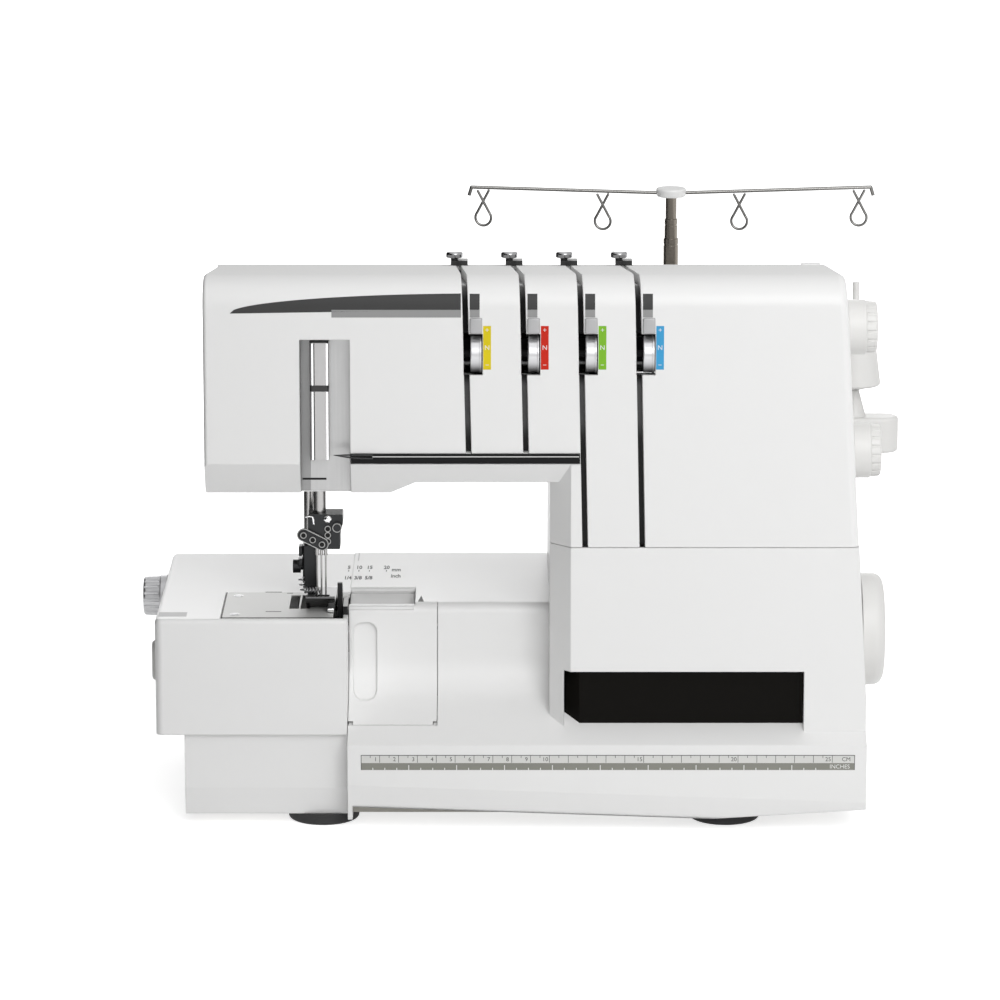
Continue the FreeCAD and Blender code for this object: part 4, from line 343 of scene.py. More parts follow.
class Graph:
    """Node tree that is filled one node at a time."""

    def __init__(self, tree: NodeTree) -> None:
        """Start with an empty tree."""
        self.tree = tree
        tree.nodes.clear()

    def add(self, kind: str, feeds: dict | None = None, **settings: object) -> Node:
        """Add a node, set its properties and feed its sockets.

        Args:
            kind: Blender's name of the node's type.
            feeds: Values or output sockets for its inputs, by socket name or number.
            settings: Properties of the node.

        Returns:
            The new node.
        """
        node = self.tree.nodes.new(kind)
        for key, value in settings.items():
            setattr(node, key, value)
        for key, value in (feeds or {}).items():
            if isinstance(value, Socket):
                self.tree.links.new(value, node.inputs[key])
            else:
                node.inputs[key].default_value = value
        return node

    def math(self, operation: str, first: object, second: object) -> Socket:
        """Add a Math node and return its result."""
        return self.add("ShaderNodeMath", {0: first, 1: second}, operation=operation).outputs[0]

    def ramp(self, value: object, start: float, end: float) -> Socket:
        """Add a smooth step that runs from 0 at the start to 1 at the end, and return its result."""
        feeds = {0: value, 1: start, 2: end}
        return self.add("ShaderNodeMapRange", feeds, interpolation_type="SMOOTHSTEP").outputs[0]

    def mix_colour(self, share: object, first: object, second: object) -> Socket:
        """Add a colour mix and return its result."""
        return self.add("ShaderNodeMix", {0: share, 6: first, 7: second}, data_type="RGBA").outputs[2]

    def mix_value(self, share: object, first: object, second: object) -> Socket:
        """Add a value mix and return its result."""
        return self.add("ShaderNodeMix", {0: share, 2: first, 3: second}, data_type="FLOAT").outputs[0]

    def noise(self, place: Socket, scale: object, detail: float, rough: float = 0.5) -> Socket:
        """Add a noise and return its value."""
        feeds = {"Vector": place, "Scale": scale, "Detail": detail, "Roughness": rough}
        return self.add("ShaderNodeTexNoise", feeds).outputs[0]

    def height(self, vector: Socket) -> Socket:
        """Return the z of a place or a direction."""
        return self.add("ShaderNodeSeparateXYZ", {0: vector}).outputs[2]


class Group(Graph):
    """Node group with named sockets, filled like any other graph."""

    def __init__(self, name: str, inputs: dict[str, str], outputs: dict[str, str]) -> None:
        """Make the sockets and the two nodes that stand for them.

        Args:
            name: Name of the group.
            inputs: Socket types by input name.
            outputs: Socket types by output name.
        """
        super().__init__(bpy.data.node_groups.new(name, "ShaderNodeTree"))
        for way, sockets in (("INPUT", inputs), ("OUTPUT", outputs)):
            for socket, kind in sockets.items():
                self.tree.interface.new_socket(socket, in_out=way, socket_type=kind)
        self.given = self.add("NodeGroupInput").outputs
        self.result = self.add("NodeGroupOutput").inputs

    def give(self, **results: Socket) -> NodeTree:
        """Link results to the outputs of the same names.

        Args:
            results: Sockets by output name.

        Returns:
            The finished tree.
        """
        for name, socket in results.items():
            self.tree.links.new(socket, self.result[name])
        return self.tree


def grain_group() -> NodeTree:
    """Fine relief and slow tone changes: two noises, a fine one for height and a broad one for tone.

    Returns:
        The group, which puts out the varied colour, the varied roughness and the relief's height.
    """
    fine_share = 0.4
    middle = 0.5
    group = Group(
        "surface grain",
        {"Vector": VECTOR, "Stretch": VECTOR, "Colour": COLOUR, "Roughness": FLOAT, "Fine Scale": FLOAT,
         "Broad Scale": FLOAT, "Tone Spread": FLOAT, "Roughness Spread": FLOAT},
        {"Colour": COLOUR, "Roughness": FLOAT, "Height": FLOAT})
    given = group.given
    factors = {0: given["Vector"], 1: given["Stretch"]}
    pulled = group.add("ShaderNodeVectorMath", factors, operation="MULTIPLY")
    fine = group.noise(pulled.outputs[0], given["Fine Scale"], detail=3.0, rough=0.6)
    broad = group.noise(given["Vector"], given["Broad Scale"], detail=4.0)
    both = group.math("ADD", group.math("MULTIPLY", fine, fine_share),
                      group.math("MULTIPLY", broad, 1 - fine_share))
    swing = group.math("SUBTRACT", both, middle)
    tone = group.math("ADD", group.math("MULTIPLY", swing, given["Tone Spread"]), 1.0)
    toned = group.add("ShaderNodeVectorMath", {0: given["Colour"], "Scale": tone}, operation="SCALE")
    rough = group.math("ADD", given["Roughness"], group.math("MULTIPLY", swing, given["Roughness Spread"]))
    return group.give(Colour=toned.outputs[0], Roughness=rough, Height=fine)


def wear_group() -> NodeTree:
    """Rubbed edges and a painted edge highlight: where the rounded normal leaves the face's own, broken up
    by a noise.

    Returns:
        The group, which puts out a mask from 0 to 1.
    """
    patch_scale = 160.0
    inputs = {"Vector": VECTOR, "Rounded Normal": VECTOR, "Face Normal": VECTOR, "Amount": FLOAT}
    group = Group("edge wear and painted edge highlight", inputs, {"Mask": FLOAT})
    given = group.given
    normals = {0: given["Rounded Normal"], 1: given["Face Normal"]}
    agree = group.add("ShaderNodeVectorMath", normals, operation="DOT_PRODUCT")
    bend = group.math("SUBTRACT", 1.0, agree.outputs["Value"])
    patches = group.noise(given["Vector"], patch_scale, detail=5.0)
    broken = group.math("MULTIPLY", bend, group.math("MULTIPLY", patches, given["Amount"]))
    return group.give(Mask=group.math("MINIMUM", group.math("MAXIMUM", broken, 0.0), 1.0))


def dust_group() -> NodeTree:
    """Thin dust on faces that look up: the normal's height, raised to a power, times a noise.

    Returns:
        The group, which puts out a mask from 0 to 1.
    """
    power = 3.0
    speck_scale = 45.0
    inputs = {"Vector": VECTOR, "Face Normal": VECTOR, "Amount": FLOAT}
    group = Group("settled dust", inputs, {"Mask": FLOAT})
    given = group.given
    up = group.math("POWER", group.math("MAXIMUM", group.height(given["Face Normal"]), 0.0), power)
    specks = group.noise(given["Vector"], speck_scale, detail=8.0)
    return group.give(Mask=group.math("MULTIPLY", group.math("MULTIPLY", up, specks), given["Amount"]))


def new_material(name: str) -> tuple[Material, Graph]:
    """Make a material with an empty graph.

    Args:
        name: Name of the material.

    Returns:
        The material and its graph.
    """
    material = bpy.data.materials.new(name)
    material.use_nodes = True
    return material, Graph(material.node_tree)


@dataclass(frozen=True)
class Band:
    """Second tone of a finish that comes in over a stretch of heights.

    Attributes:
        start: Height in millimetres where the tone begins to come in.
        end: Height in millimetres where it is fully in; below the start, the tone comes in downwards.
        colour: Base colour inside the band.
        roughness: Roughness inside the band.
        metallic: Metallic value inside the band.
        stop: Height where the band ends at once, if it does.
    """

    start: float
    end: float
    colour: Colour
    roughness: float
    metallic: float = 0.0
    stop: float | None = None

    def mask(self, graph: Graph, height: Socket) -> Socket:
        """Put out 1 inside the band and 0 outside, with a smooth step between.

        Args:
            graph: Graph of the material.
            height: Height in metres.

        Returns:
            Output socket of the mask.
        """
        share = graph.ramp(height, self.start / MILLIMETRES, self.end / MILLIMETRES)
        if self.stop is None:
            return share
        return graph.math("MULTIPLY", share, graph.math("LESS_THAN", height, self.stop / MILLIMETRES))


DUST_COLOUR: Colour = (0.62, 0.6, 0.57)
DUST_ROUGHNESS = 0.9
# Height of a face's normal from which it begins to look up, and from which it fully does
UPWARD: Span = (0.6, 0.95)
# Rays that find the shaded round of an edge
EDGE_SAMPLES = 4


@dataclass(frozen=True)
class Finish:
    """Look of one material, as the values of its shader and its fine relief.

    Attributes:
        name: Name of the material.
        colour: Base colour, linear.
        roughness: Middle roughness.
        metallic: Metallic value.
        specular: Level of the plain reflection.
        grain: Stretch of the fine relief.
        fine_scale: Noise scale of the relief, per metre.
        broad_scale: Noise scale of the tone, per metre.
        relief: Height of the relief in millimetres.
        tone_spread: How far the tone swings, as a share.
        rough_spread: How far the roughness swings.
        edge_round: Radius of the shaded edge round in millimetres.
        worn_colour: Colour of rubbed edges and of the highlight painted along them.
        wear: Strength of rubbed edges and of their painted highlight.
        dust: Strength of settled dust.
        bands: Second tones between heights.
        matt_above: Height in millimetres above which faces that look up are fully rough.
    """

    name: str
    colour: Colour
    roughness: float
    metallic: float = 0.0
    specular: float = 0.5
    grain: Grain = Grain.EVEN
    fine_scale: float = 1400.0
    broad_scale: float = 11.0
    relief: float = 0.01
    tone_spread: float = 0.03
    rough_spread: float = 0.12
    edge_round: float = 0.5
    worn_colour: Colour = (0.9, 0.9, 0.9)
    wear: float = 0.0
    dust: float = 0.02
    bands: tuple[Band, ...] = ()
    matt_above: float | None = None

    def material(self, groups: dict[str, NodeTree]) -> Material:
        """Build the material from the shared groups and its own shader.

        Args:
            groups: Shared node groups by short name.

        Returns:
            The new material.
        """
        material, graph = new_material(self.name)
        material.diffuse_color = (*self.colour, 1.0)
        place = graph.add("ShaderNodeTexCoord").outputs["Object"]
        face = graph.add("ShaderNodeNewGeometry").outputs["Normal"]
        edge = {"Radius": self.edge_round / MILLIMETRES}
        rounded = graph.add("ShaderNodeBevel", edge, samples=EDGE_SAMPLES).outputs[0]
        grain = graph.add("ShaderNodeGroup", {
            "Vector": place, "Stretch": self.grain.value, "Colour": (*self.colour, 1.0),
            "Roughness": self.roughness, "Fine Scale": self.fine_scale, "Broad Scale": self.broad_scale,
            "Tone Spread": self.tone_spread, "Roughness Spread": self.rough_spread},
            node_tree=groups["grain"]).outputs
        colour = grain["Colour"]
        rough = grain["Roughness"]
        metallic: object = self.metallic
        for band in self.bands:
            inside = band.mask(graph, graph.height(place))
            colour = graph.mix_colour(inside, colour, (*band.colour, 1.0))
            rough = graph.mix_value(inside, rough, band.roughness)
            if band.metallic != self.metallic:
                metallic = graph.mix_value(inside, metallic, band.metallic)
        # Rubbed edges, lighter than the rest, which also paint a highlight along the edges
        if self.wear:
            feeds = {"Vector": place, "Rounded Normal": rounded, "Face Normal": face, "Amount": self.wear}
            worn_and_lit = graph.add("ShaderNodeGroup", feeds, node_tree=groups["wear"]).outputs[0]
            colour = graph.mix_colour(worn_and_lit, colour, (*self.worn_colour, 1.0))
        if self.dust:
            feeds = {"Vector": place, "Face Normal": face, "Amount": self.dust}
            dusty = graph.add("ShaderNodeGroup", feeds, node_tree=groups["dust"]).outputs[0]
            colour = graph.mix_colour(dusty, colour, (*DUST_COLOUR, 1.0))
            rough = graph.mix_value(dusty, rough, DUST_ROUGHNESS)
        if self.matt_above:
            above = graph.math("GREATER_THAN", graph.height(place), self.matt_above / MILLIMETRES)
            matt = graph.math("MULTIPLY", graph.ramp(graph.height(face), *UPWARD), above)
            rough = graph.mix_value(matt, rough, 1.0)
        bump = graph.add("ShaderNodeBump", {"Strength": 1.0, "Distance": self.relief / MILLIMETRES,
                                            "Height": grain["Height"], "Normal": rounded})
        shader = graph.add("ShaderNodeBsdfPrincipled", {
            "Base Color": colour, "Roughness": rough, "Metallic": metallic,
            "Specular IOR Level": self.specular, "Normal": bump.outputs[0]})
        graph.add("ShaderNodeOutputMaterial", {"Surface": shader.outputs[0]})
        return material


def grey(tone: float) -> Colour:
    """Even grey of one linear tone."""
    return tone, tone, tone


def metal(name: str, colour: Colour, roughness: float, **values: object) -> Finish:
    """Finish of bare metal: fully metallic, fine grained and tight at its edges unless told otherwise."""
    usual = {"metallic": 1.0, "fine_scale": 1500, "edge_round": 0.2}
    return Finish(name, colour, roughness, **(usual | values))


def ink(name: str, colour: Colour, roughness: float = 0.45) -> Finish:
    """Finish of a thin printed film, which has no dust and hardly any relief."""
    return Finish(name, colour, roughness, specular=0.15, relief=0.003, tone_spread=0.06, edge_round=0.03,
                  dust=0.0)


BLACK = grey(0.012)

WHITE_MOULDING = Finish(
    "white moulding", (0.86, 0.86, 0.855), 0.33, fine_scale=1700, relief=0.006, tone_spread=0.02,
    edge_round=0.8, worn_colour=(0.93, 0.93, 0.92), wear=1.2, matt_above=262.0)
WARM_MOULDING = Finish(
    "warm white moulding", (0.76, 0.755, 0.74), 0.42, fine_scale=1500, relief=0.008, edge_round=0.6,
    worn_colour=(0.9, 0.9, 0.88), wear=1.0)
CREAM_PAN = Finish("cream pan moulding", (0.66, 0.64, 0.58), 0.55, fine_scale=900, relief=0.015)
BLACK_PANEL = Finish(
    "black panel", (0.0045, 0.004, 0.0032), 0.36, specular=0.05, fine_scale=1900, relief=0.004,
    tone_spread=0.3, edge_round=0.4, worn_colour=grey(0.05), wear=1.0, dust=0.002)
BLACK_MATT = Finish(
    "black matt moulding", (0.018, 0.018, 0.019), 0.5, fine_scale=1200, relief=0.012, tone_spread=0.25,
    worn_colour=grey(0.1), wear=1.5, edge_round=0.3)
RAIL_BLACK = Finish(
    "black rail moulding", (0.006, 0.006, 0.0065), 0.4, specular=0.12, fine_scale=1500, relief=0.006,
    tone_spread=0.25, edge_round=0.3, worn_colour=grey(0.12), wear=1.5)
SLOT_DARK_WITH_PAINTED_LIGHT = Finish(
    "dark slot floor with painted light", (0.008, 0.008, 0.0085), 0.5, specular=0.06, fine_scale=1500, relief=0.006,
    tone_spread=0.2, edge_round=0.2,
    # Lighter grey below the dials, darker again lower down, and lighter grey where the slots turn onto the
    # top: painted light on the black liners
    bands=(Band(245.0, 238.0, grey(0.12), 0.4), Band(222.0, 209.0, grey(0.03), 0.4),
           Band(284.0, 294.0, grey(0.16), 0.3)))
GREY_MOULDING = Finish(
    "grey moulding", (0.4, 0.4, 0.41), 0.45, fine_scale=1300, tone_spread=0.05, edge_round=0.4)
SATIN_SILVER = Finish(
    "satin silver", (0.52, 0.52, 0.53), 0.34, metallic=0.75, fine_scale=2200, relief=0.004,
    tone_spread=0.06, edge_round=0.35, worn_colour=(0.8, 0.8, 0.81), wear=1.2)
CAP_SILVER = Finish(
    "satin cap", (0.36, 0.36, 0.365), 0.42, metallic=0.6, fine_scale=2200, relief=0.004, tone_spread=0.06,
    edge_round=0.35)
DIAL_SILVER_WITH_PAINTED_SHADE = Finish(
    "satin dial with painted shade below", (0.5, 0.5, 0.51), 0.3, metallic=0.8, grain=Grain.ALONG_X,
    fine_scale=2400, relief=0.006, tone_spread=0.08, edge_round=0.3,
    # Darker lower part of each dial: painted shade
    bands=(Band(254.0, 247.5, (0.11, 0.11, 0.112), 0.4, 0.6),))
GUARD_SILVER = Finish(
    "satin guard with a dark band and a painted shadow on top", (0.42, 0.415, 0.415), 0.38, metallic=0.7, grain=Grain.ALONG_Z,
    fine_scale=2500, relief=0.006, tone_spread=0.08, edge_round=0.3,
    # The first band is the guard's own dark band; the black one over its top is a painted shadow under the
    # top of the recess
    bands=(Band(235.8, 235.9, BLACK, 0.4, stop=239.2), Band(261.7, 261.8, BLACK, 0.4)))
# Lit and shaded copies of one satin lining: the darker copy paints the shade on the recess's left part
LINING = Finish(
    "satin recess lining", grey(0.42), 0.32, metallic=0.7, grain=Grain.ALONG_Z, fine_scale=900,
    broad_scale=38.0, relief=0.008, tone_spread=0.45, rough_spread=0.3, edge_round=0.2)
PAINTED_SHADE_LINING = Finish(
    "recess lining with painted shade", grey(0.26), 0.34, metallic=0.6, grain=Grain.ALONG_Z, fine_scale=900,
    broad_scale=38.0, relief=0.008, tone_spread=0.4, rough_spread=0.3, edge_round=0.2)
GUIDE_CAPS = metal(
    "dark chromed caps on black feet", (0.34, 0.34, 0.345), 0.16, fine_scale=1800, relief=0.003,
    tone_spread=0.1, bands=(Band(283.4, 283.2, grey(0.02), 0.4),))
CHROME = metal(
    "polished chrome", (0.74, 0.74, 0.745), 0.1, relief=0.002, tone_spread=0.08, rough_spread=0.08)
# Chrome with its colour darkened to paint dark reflections on the bars; the dark card also gives them real
# ones
CHROME_WITH_PAINTED_DARK_REFLECTIONS = metal(
    "chrome bar with painted dark reflections", (0.34, 0.335, 0.33), 0.22, grain=Grain.ALONG_Z, fine_scale=2400, tone_spread=0.35)
WIRE_NICKEL = metal("dull nickel wire", (0.2, 0.197, 0.19), 0.24, relief=0.003, tone_spread=0.15)
NICKEL = metal(
    "warm nickel tube", (0.2, 0.18, 0.155), 0.22, grain=Grain.ALONG_Z, fine_scale=2200, relief=0.004,
    tone_spread=0.12)
GROUND_STEEL = metal(
    "ground steel", (0.6, 0.6, 0.61), 0.32, grain=Grain.ALONG_Y, fine_scale=3000, relief=0.005,
    tone_spread=0.1, edge_round=0.25, worn_colour=grey(0.85), wear=1.5)
PLATE_STEEL = Finish(
    "satin needle plate", (0.6, 0.6, 0.59), 0.45, metallic=0.35, grain=Grain.ALONG_X, fine_scale=3200,
    relief=0.004, tone_spread=0.08, edge_round=0.25)
FEED_STEEL = metal(
    "dark feed steel", grey(0.2), 0.36, fine_scale=1400, tone_spread=0.4, worn_colour=grey(0.6), wear=3.0)
# Light steel of the painted highlights on the clamp and the rail
HIGHLIGHT_STEEL = metal(
    "light steel for painted highlights", (0.42, 0.42, 0.415), 0.3, relief=0.004, tone_spread=0.3, edge_round=0.1)
# Its strong lighter edges are mostly a painted highlight along them
FOOT_STEEL = metal(
    "dark foot steel", (0.11, 0.11, 0.112), 0.28, metallic=0.95, grain=Grain.ALONG_X, fine_scale=1600,
    relief=0.006, tone_spread=0.4, edge_round=0.4, worn_colour=grey(0.65), wear=4.0)
KNIFE_BLACK = Finish(
    "black knife steel", (0.012, 0.012, 0.013), 0.3, specular=0.3, fine_scale=1500, relief=0.004,
    tone_spread=0.3, edge_round=0.2, worn_colour=grey(0.2), wear=1.5)
# Its strong lighter edges are mostly a painted highlight along them
GUN_STEEL = metal(
    "blackened steel", (0.03, 0.031, 0.032), 0.34, metallic=0.9, fine_scale=1300, relief=0.008,
    tone_spread=0.3, edge_round=0.35, worn_colour=grey(0.4), wear=3.0)
CAST_METAL = metal(
    "cast aluminium", grey(0.5), 0.55, metallic=0.9, fine_scale=500, relief=0.06, tone_spread=0.15,
    edge_round=0.6)
BRONZE = metal("sintered bronze", (0.42, 0.28, 0.13), 0.45, tone_spread=0.2)
BELT_RUBBER = Finish("belt rubber", grey(0.03), 0.75, fine_scale=900, relief=0.03, tone_spread=0.3)
FOOT_RUBBER = Finish(
    "foot rubber", (0.022, 0.022, 0.023), 0.7, fine_scale=800, relief=0.03, tone_spread=0.3)
MOTOR_PAINT = Finish("motor paint", (0.05, 0.05, 0.055), 0.4, fine_scale=700, relief=0.02, tone_spread=0.2)
STRIPE_INK = ink("dark stripe ink", grey(0.056), 0.4)
BAR_INK = ink("grey bar ink", grey(0.33), 0.4)
RULER_WHITE = ink("ruler white", (0.72, 0.72, 0.7))
RULER_GREY = ink("ruler grey", (0.27, 0.27, 0.24))
MARK_INK = ink("mark ink", (0.12, 0.12, 0.115))
BLACK_INK = ink("black mark ink", BLACK)
FAINT_INK = ink("faint grey mark", grey(0.62))
WHITE_INK = ink("white mark ink", (0.85, 0.85, 0.84))
TENSION_INKS = (ink("yellow strip", (0.75, 0.6, 0.014)), ink("red strip", (0.6, 0.025, 0.012)),
                ink("green strip", (0.22, 0.5, 0.035)), ink("blue strip", (0.06, 0.36, 0.66)))

NODE_FINISHES: dict[Finish, tuple[str, ...]] = {
    WHITE_MOULDING: ("base_shell", "arm_base_cover", "free_arm_shell", "front_cover", "rear_cover",
                     "looper_door", "guide_hub"),
    WARM_MOULDING: ("handwheel", "stitch_dial", "feed_dial", "spool_beam", "spool_cones", "arm_button"),
    CREAM_PAN: ("bottom_pan",),
    BLACK_PANEL: ("plinth_panel",),
    BLACK_MATT: ("presser_lifter", "power_inlet", "power_rocker"),
    RAIL_BLACK: ("thread_rail",),
    SLOT_DARK_WITH_PAINTED_LIGHT: ("slot_liners", "tension_bracket"),
    GREY_MOULDING: ("shaft_pulleys", "upper_pulley"),
    SATIN_SILVER: ("cut_dial",),
    DIAL_SILVER_WITH_PAINTED_SHADE: ("tension_dial_1", "tension_dial_2", "tension_dial_3", "tension_dial_4"),
    GUARD_SILVER: ("take_up_guard",),
    GUIDE_CAPS: ("pretension_guides",),
    CHROME: ("lower_looper", "upper_looper", "cover_screws"),
    CHROME_WITH_PAINTED_DARK_REFLECTIONS: ("needle_bar", "presser_bar", "needles"),
    WIRE_NICKEL: ("guide_wire", "thread_eyelets"),
    NICKEL: ("pole_outer", "pole_middle", "pole_inner"),
    GROUND_STEEL: ("main_shaft", "upper_shaft", "needle_crank", "motor_pulley", "connecting_rod",
                   "pivot_pins"),
    PLATE_STEEL: ("needle_plate",),
    FEED_STEEL: ("feed_dog",),
    GUN_STEEL: ("needle_clamp", "foot_holder"),
    FOOT_STEEL: ("presser_foot",),
    KNIFE_BLACK: ("upper_knife", "lower_knife"),
    CAST_METAL: ("chassis",),
    BRONZE: ("bushes",),
    BELT_RUBBER: ("drive_belt", "timing_belt"),
    FOOT_RUBBER: ("rubber_feet",),
    MOTOR_PAINT: ("motor",),
}


def linked(name: str, data: ID) -> Object:
    """Make an object of some data and link it into the scene.

    Args:
        name: Name of the object.
        data: Its mesh, camera or lamp.

    Returns:
        The new object.
    """
    thing = bpy.data.objects.new(name, data)
    bpy.context.scene.collection.objects.link(thing)
    return thing


class Workshop:
    """Makes materials once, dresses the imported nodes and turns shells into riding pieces."""

    def __init__(self) -> None:
        """Read the datum and build the shared node groups."""
        self.datum = Datum.read()
        self.groups = {"grain": grain_group(), "wear": wear_group(), "dust": dust_group()}
        self.materials: dict[str, Material] = {}

    def material(self, finish: Finish) -> Material:
        """Build a finish's material at its first use, and keep it for the next.

        Args:
            finish: The finish.

        Returns:
            Its material.
        """
        if finish.name not in self.materials:
            self.materials[finish.name] = finish.material(self.groups)
        return self.materials[finish.name]

    def dress_nodes(self) -> None:
        """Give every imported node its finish."""
        for finish, nodes in NODE_FINISHES.items():
            for node in nodes:
                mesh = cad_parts[node].data
                mesh.materials.clear()
                mesh.materials.append(self.material(finish))
                log.info("dressed %s in %s", node, finish.name)

    def piece(self, name: str, shell: Shell, finish: Finish, body: Body = Body.MACHINE,
              slot: Slot = Slot.WHITE, smooth: bool = False) -> None:
        """Turn a shell into a finished piece that rides on a body.

        Args:
            name: Name of the piece.
            shell: Its surface, in millimetres from the machine's corner.
            finish: Its finish.
            body: Body that it moves with.
            slot: Material slot of the record that it belongs to; not used.
            smooth: Whether gentle bends between its faces are shaded smooth.
        """
        mesh = bpy.data.meshes.new(name)
        mesh.from_pydata(self.datum.place(shell.points).tolist(), [], shell.faces)
        if smooth:
            mesh.shade_smooth()
            mesh.set_sharp_from_angle(angle=math.radians(SMOOTH_DEGREES))
        mesh.materials.append(self.material(finish))
        mesh.update()
        piece = linked(name, mesh)
        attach(piece, body.value)
        log.info("made %s: %d faces", name, len(shell.faces))


@dataclass
class CoverFace:
    """Front face of the cover: its plane, the round at its top and the leaning thread slots."""

    front: float = -158.0
    top: float = 299.0
    top_fall: float = 0.136
    round_radius: float = 16.0
    slot_first: float = 166.5
    slot_pitch: float = 30.15
    slot_half: float = 1.5
    slot_lean: float = 0.022
    slot_reference: float = 206.0
    slot_count: int = 4
    film_proud: float = 0.08
    film_sunk: float = 0.05

    @property
    def round_start(self) -> float:
        """Height where the top round begins: its tangent length under the corner of face and top."""
        half_corner = (math.pi / 2 - math.atan(self.top_fall)) / 2
        return self.top - self.round_radius / math.tan(half_corner)

    def depth(self, height: Points) -> Points:
        """Depth of the face at each height: the plane, then the arc of the top round."""
        over = np.clip(np.asarray(height, float) - self.round_start, 0.0, self.round_radius)
        return self.front + self.round_radius - np.sqrt(self.round_radius ** 2 - over ** 2)

    def slot_middle(self, index: int, height: float) -> float:
        """Middle of a thread slot at a height: its foot, shifted left in proportion to the height."""
        return self.slot_first + index * self.slot_pitch - self.slot_lean * (height - self.slot_reference)

    def film(self, lower: Points, upper: Points, along: Points, rows: int = 6) -> Shell:
        """Thin printed film on the face, as one ring at each place along it.

        Each ring runs up the front of the film, which stands just proud of the face, and down its
        rear, which lies just under the face.

        Args:
            lower: Height of the lower edge at each place.
            upper: Height of the upper edge at each place.
            along: Places from left to right.
            rows: Points on each side of a ring.

        Returns:
            The closed film.
        """
        rise = np.linspace(0, 1, rows)
        tall = lower[:, None] + (upper - lower)[:, None] * rise
        across = np.broadcast_to(along[:, None], tall.shape)
        depth = self.depth(tall)
        front = np.stack([across, depth - self.film_proud, tall], axis=-1)
        rear = np.stack([across, depth + self.film_sunk, tall], axis=-1)[:, ::-1]
        return rows_shell(np.concatenate([front, rear], axis=1)[:, ::-1])

    def field(self, low: float, high: float, left: float, right: float) -> Shell:
        """Film with level edges and upright ends."""
        return self.film(np.full(2, low), np.full(2, high), np.array([left, right]))


@dataclass
class Assembly:
    """Group of pieces that one workshop makes."""

    shop: Workshop


@dataclass
class FrontStripe(Assembly):
    """Dark tapered stripe across the arm, with a grey bar under it, and their ends at each slot."""

    face: CoverFace
    tip: float = 42.0
    tip_height: float = 278.6
    tip_thick: float = 0.15
    full: float = 173.0
    low: float = 280.6
    high: float = 288.7
    bar_left: float = 95.0
    bar_low: float = 276.5
    bar_gap: float = 0.05
    slot_gap: float = 0.8
    end_width: float = 5.2
    steps: int = 60

    def build(self) -> None:
        """Make the stripe, its bar and the short ends right of each slot."""
        self.shop.piece("front_stripe", self.stripe(), STRIPE_INK)
        bar_high = self.low - self.bar_gap
        bar = self.face.field(self.bar_low, bar_high, self.bar_left, self.beside_slot(0, self.bar_low, -1))
        self.shop.piece("front_bar", bar, BAR_INK)
        for index in range(self.face.slot_count):
            left = self.beside_slot(index, self.low, 1)
            for name, low, high, finish in (("stripe_end", self.low, self.high, STRIPE_INK),
                                            ("bar_end", self.bar_low, bar_high, BAR_INK)):
                end = self.face.field(low, high, left, left + self.end_width)
                self.shop.piece(f"{name}_{index + 1}", end, finish)

    def beside_slot(self, index: int, height: float, side: int) -> float:
        """Place where a print ends left (side -1) or begins right (side 1) of a slot."""
        return self.face.slot_middle(index, height) + side * self.face.slot_half + side * self.slot_gap

    def stripe(self) -> Shell:
        """Stripe from its tip to the first slot: straight below, a quarter of an ellipse above.

        Returns:
            The closed film.
        """
        along = np.linspace(self.tip, self.beside_slot(0, self.low, -1), self.steps)
        share = (along - self.tip) / (self.full - self.tip)
        lower = self.tip_height + (self.low - self.tip_height) * share
        bow = np.sqrt(1 - (1 - share) ** 2)
        upper = self.tip_height + self.tip_thick + (self.high - self.tip_height) * bow
        return self.face.film(lower, upper, along)


@dataclass
class TensionMarks(Assembly):
    """Satin cap over each tension dial, and the coloured strip with its marks beside it."""

    face: CoverFace
    cap_left: float = 1.9
    cap_right: float = 8.4
    cap_low: float = 268.0
    cap_high: float = 276.2
    cap_proud: float = 1.1
    cap_sunk: float = 0.6
    cap_round: float = 0.5
    strip_left: float = 8.9
    strip_right: float = 13.0
    strip_low: float = 248.8
    strip_high: float = 272.0
    mark_height: float = 2.6
    mark_inset: float = 2.3
    mark_thick: float = 0.06
    mark_proud: float = 0.12

    @property
    def strip_middle(self) -> float:
        """Height of the strips' middle."""
        return (self.strip_low + self.strip_high) / 2

    def build(self) -> None:
        """Make the four caps and strips."""
        front = self.face.front
        for index, finish in enumerate(TENSION_INKS):
            slot = self.face.slot_middle(index, self.strip_middle)
            low = (slot + self.cap_left, front - self.cap_proud, self.cap_low)
            high = (slot + self.cap_right, front + self.cap_sunk, self.cap_high)
            self.shop.piece(f"tension_cap_{index + 1}", rounded_block(low, high, self.cap_round), CAP_SILVER,
                            slot=Slot.SILVER, smooth=True)
            strip = self.face.field(self.strip_low, self.strip_high, slot + self.strip_left,
                                    slot + self.strip_right)
            self.shop.piece(f"tension_strip_{index + 1}", strip, finish)
            self.shop.piece(f"tension_marks_{index + 1}", self.marks(slot), WHITE_INK)

    def marks(self, slot: float) -> Shell:
        """Plus at the top, N in the middle and minus at the bottom of a strip.

        Args:
            slot: Middle of the strip's slot.

        Returns:
            The three marks as one shell.
        """
        middle = slot + (self.strip_left + self.strip_right) / 2
        depth = self.face.front - self.mark_proud
        places = {"+": self.strip_high - self.mark_inset, "N": self.strip_middle,
                  "−": self.strip_low + self.mark_inset}
        return joined(lettering(mark, self.mark_height, self.mark_thick, upright(middle, depth, height))
                      for mark, height in places.items())


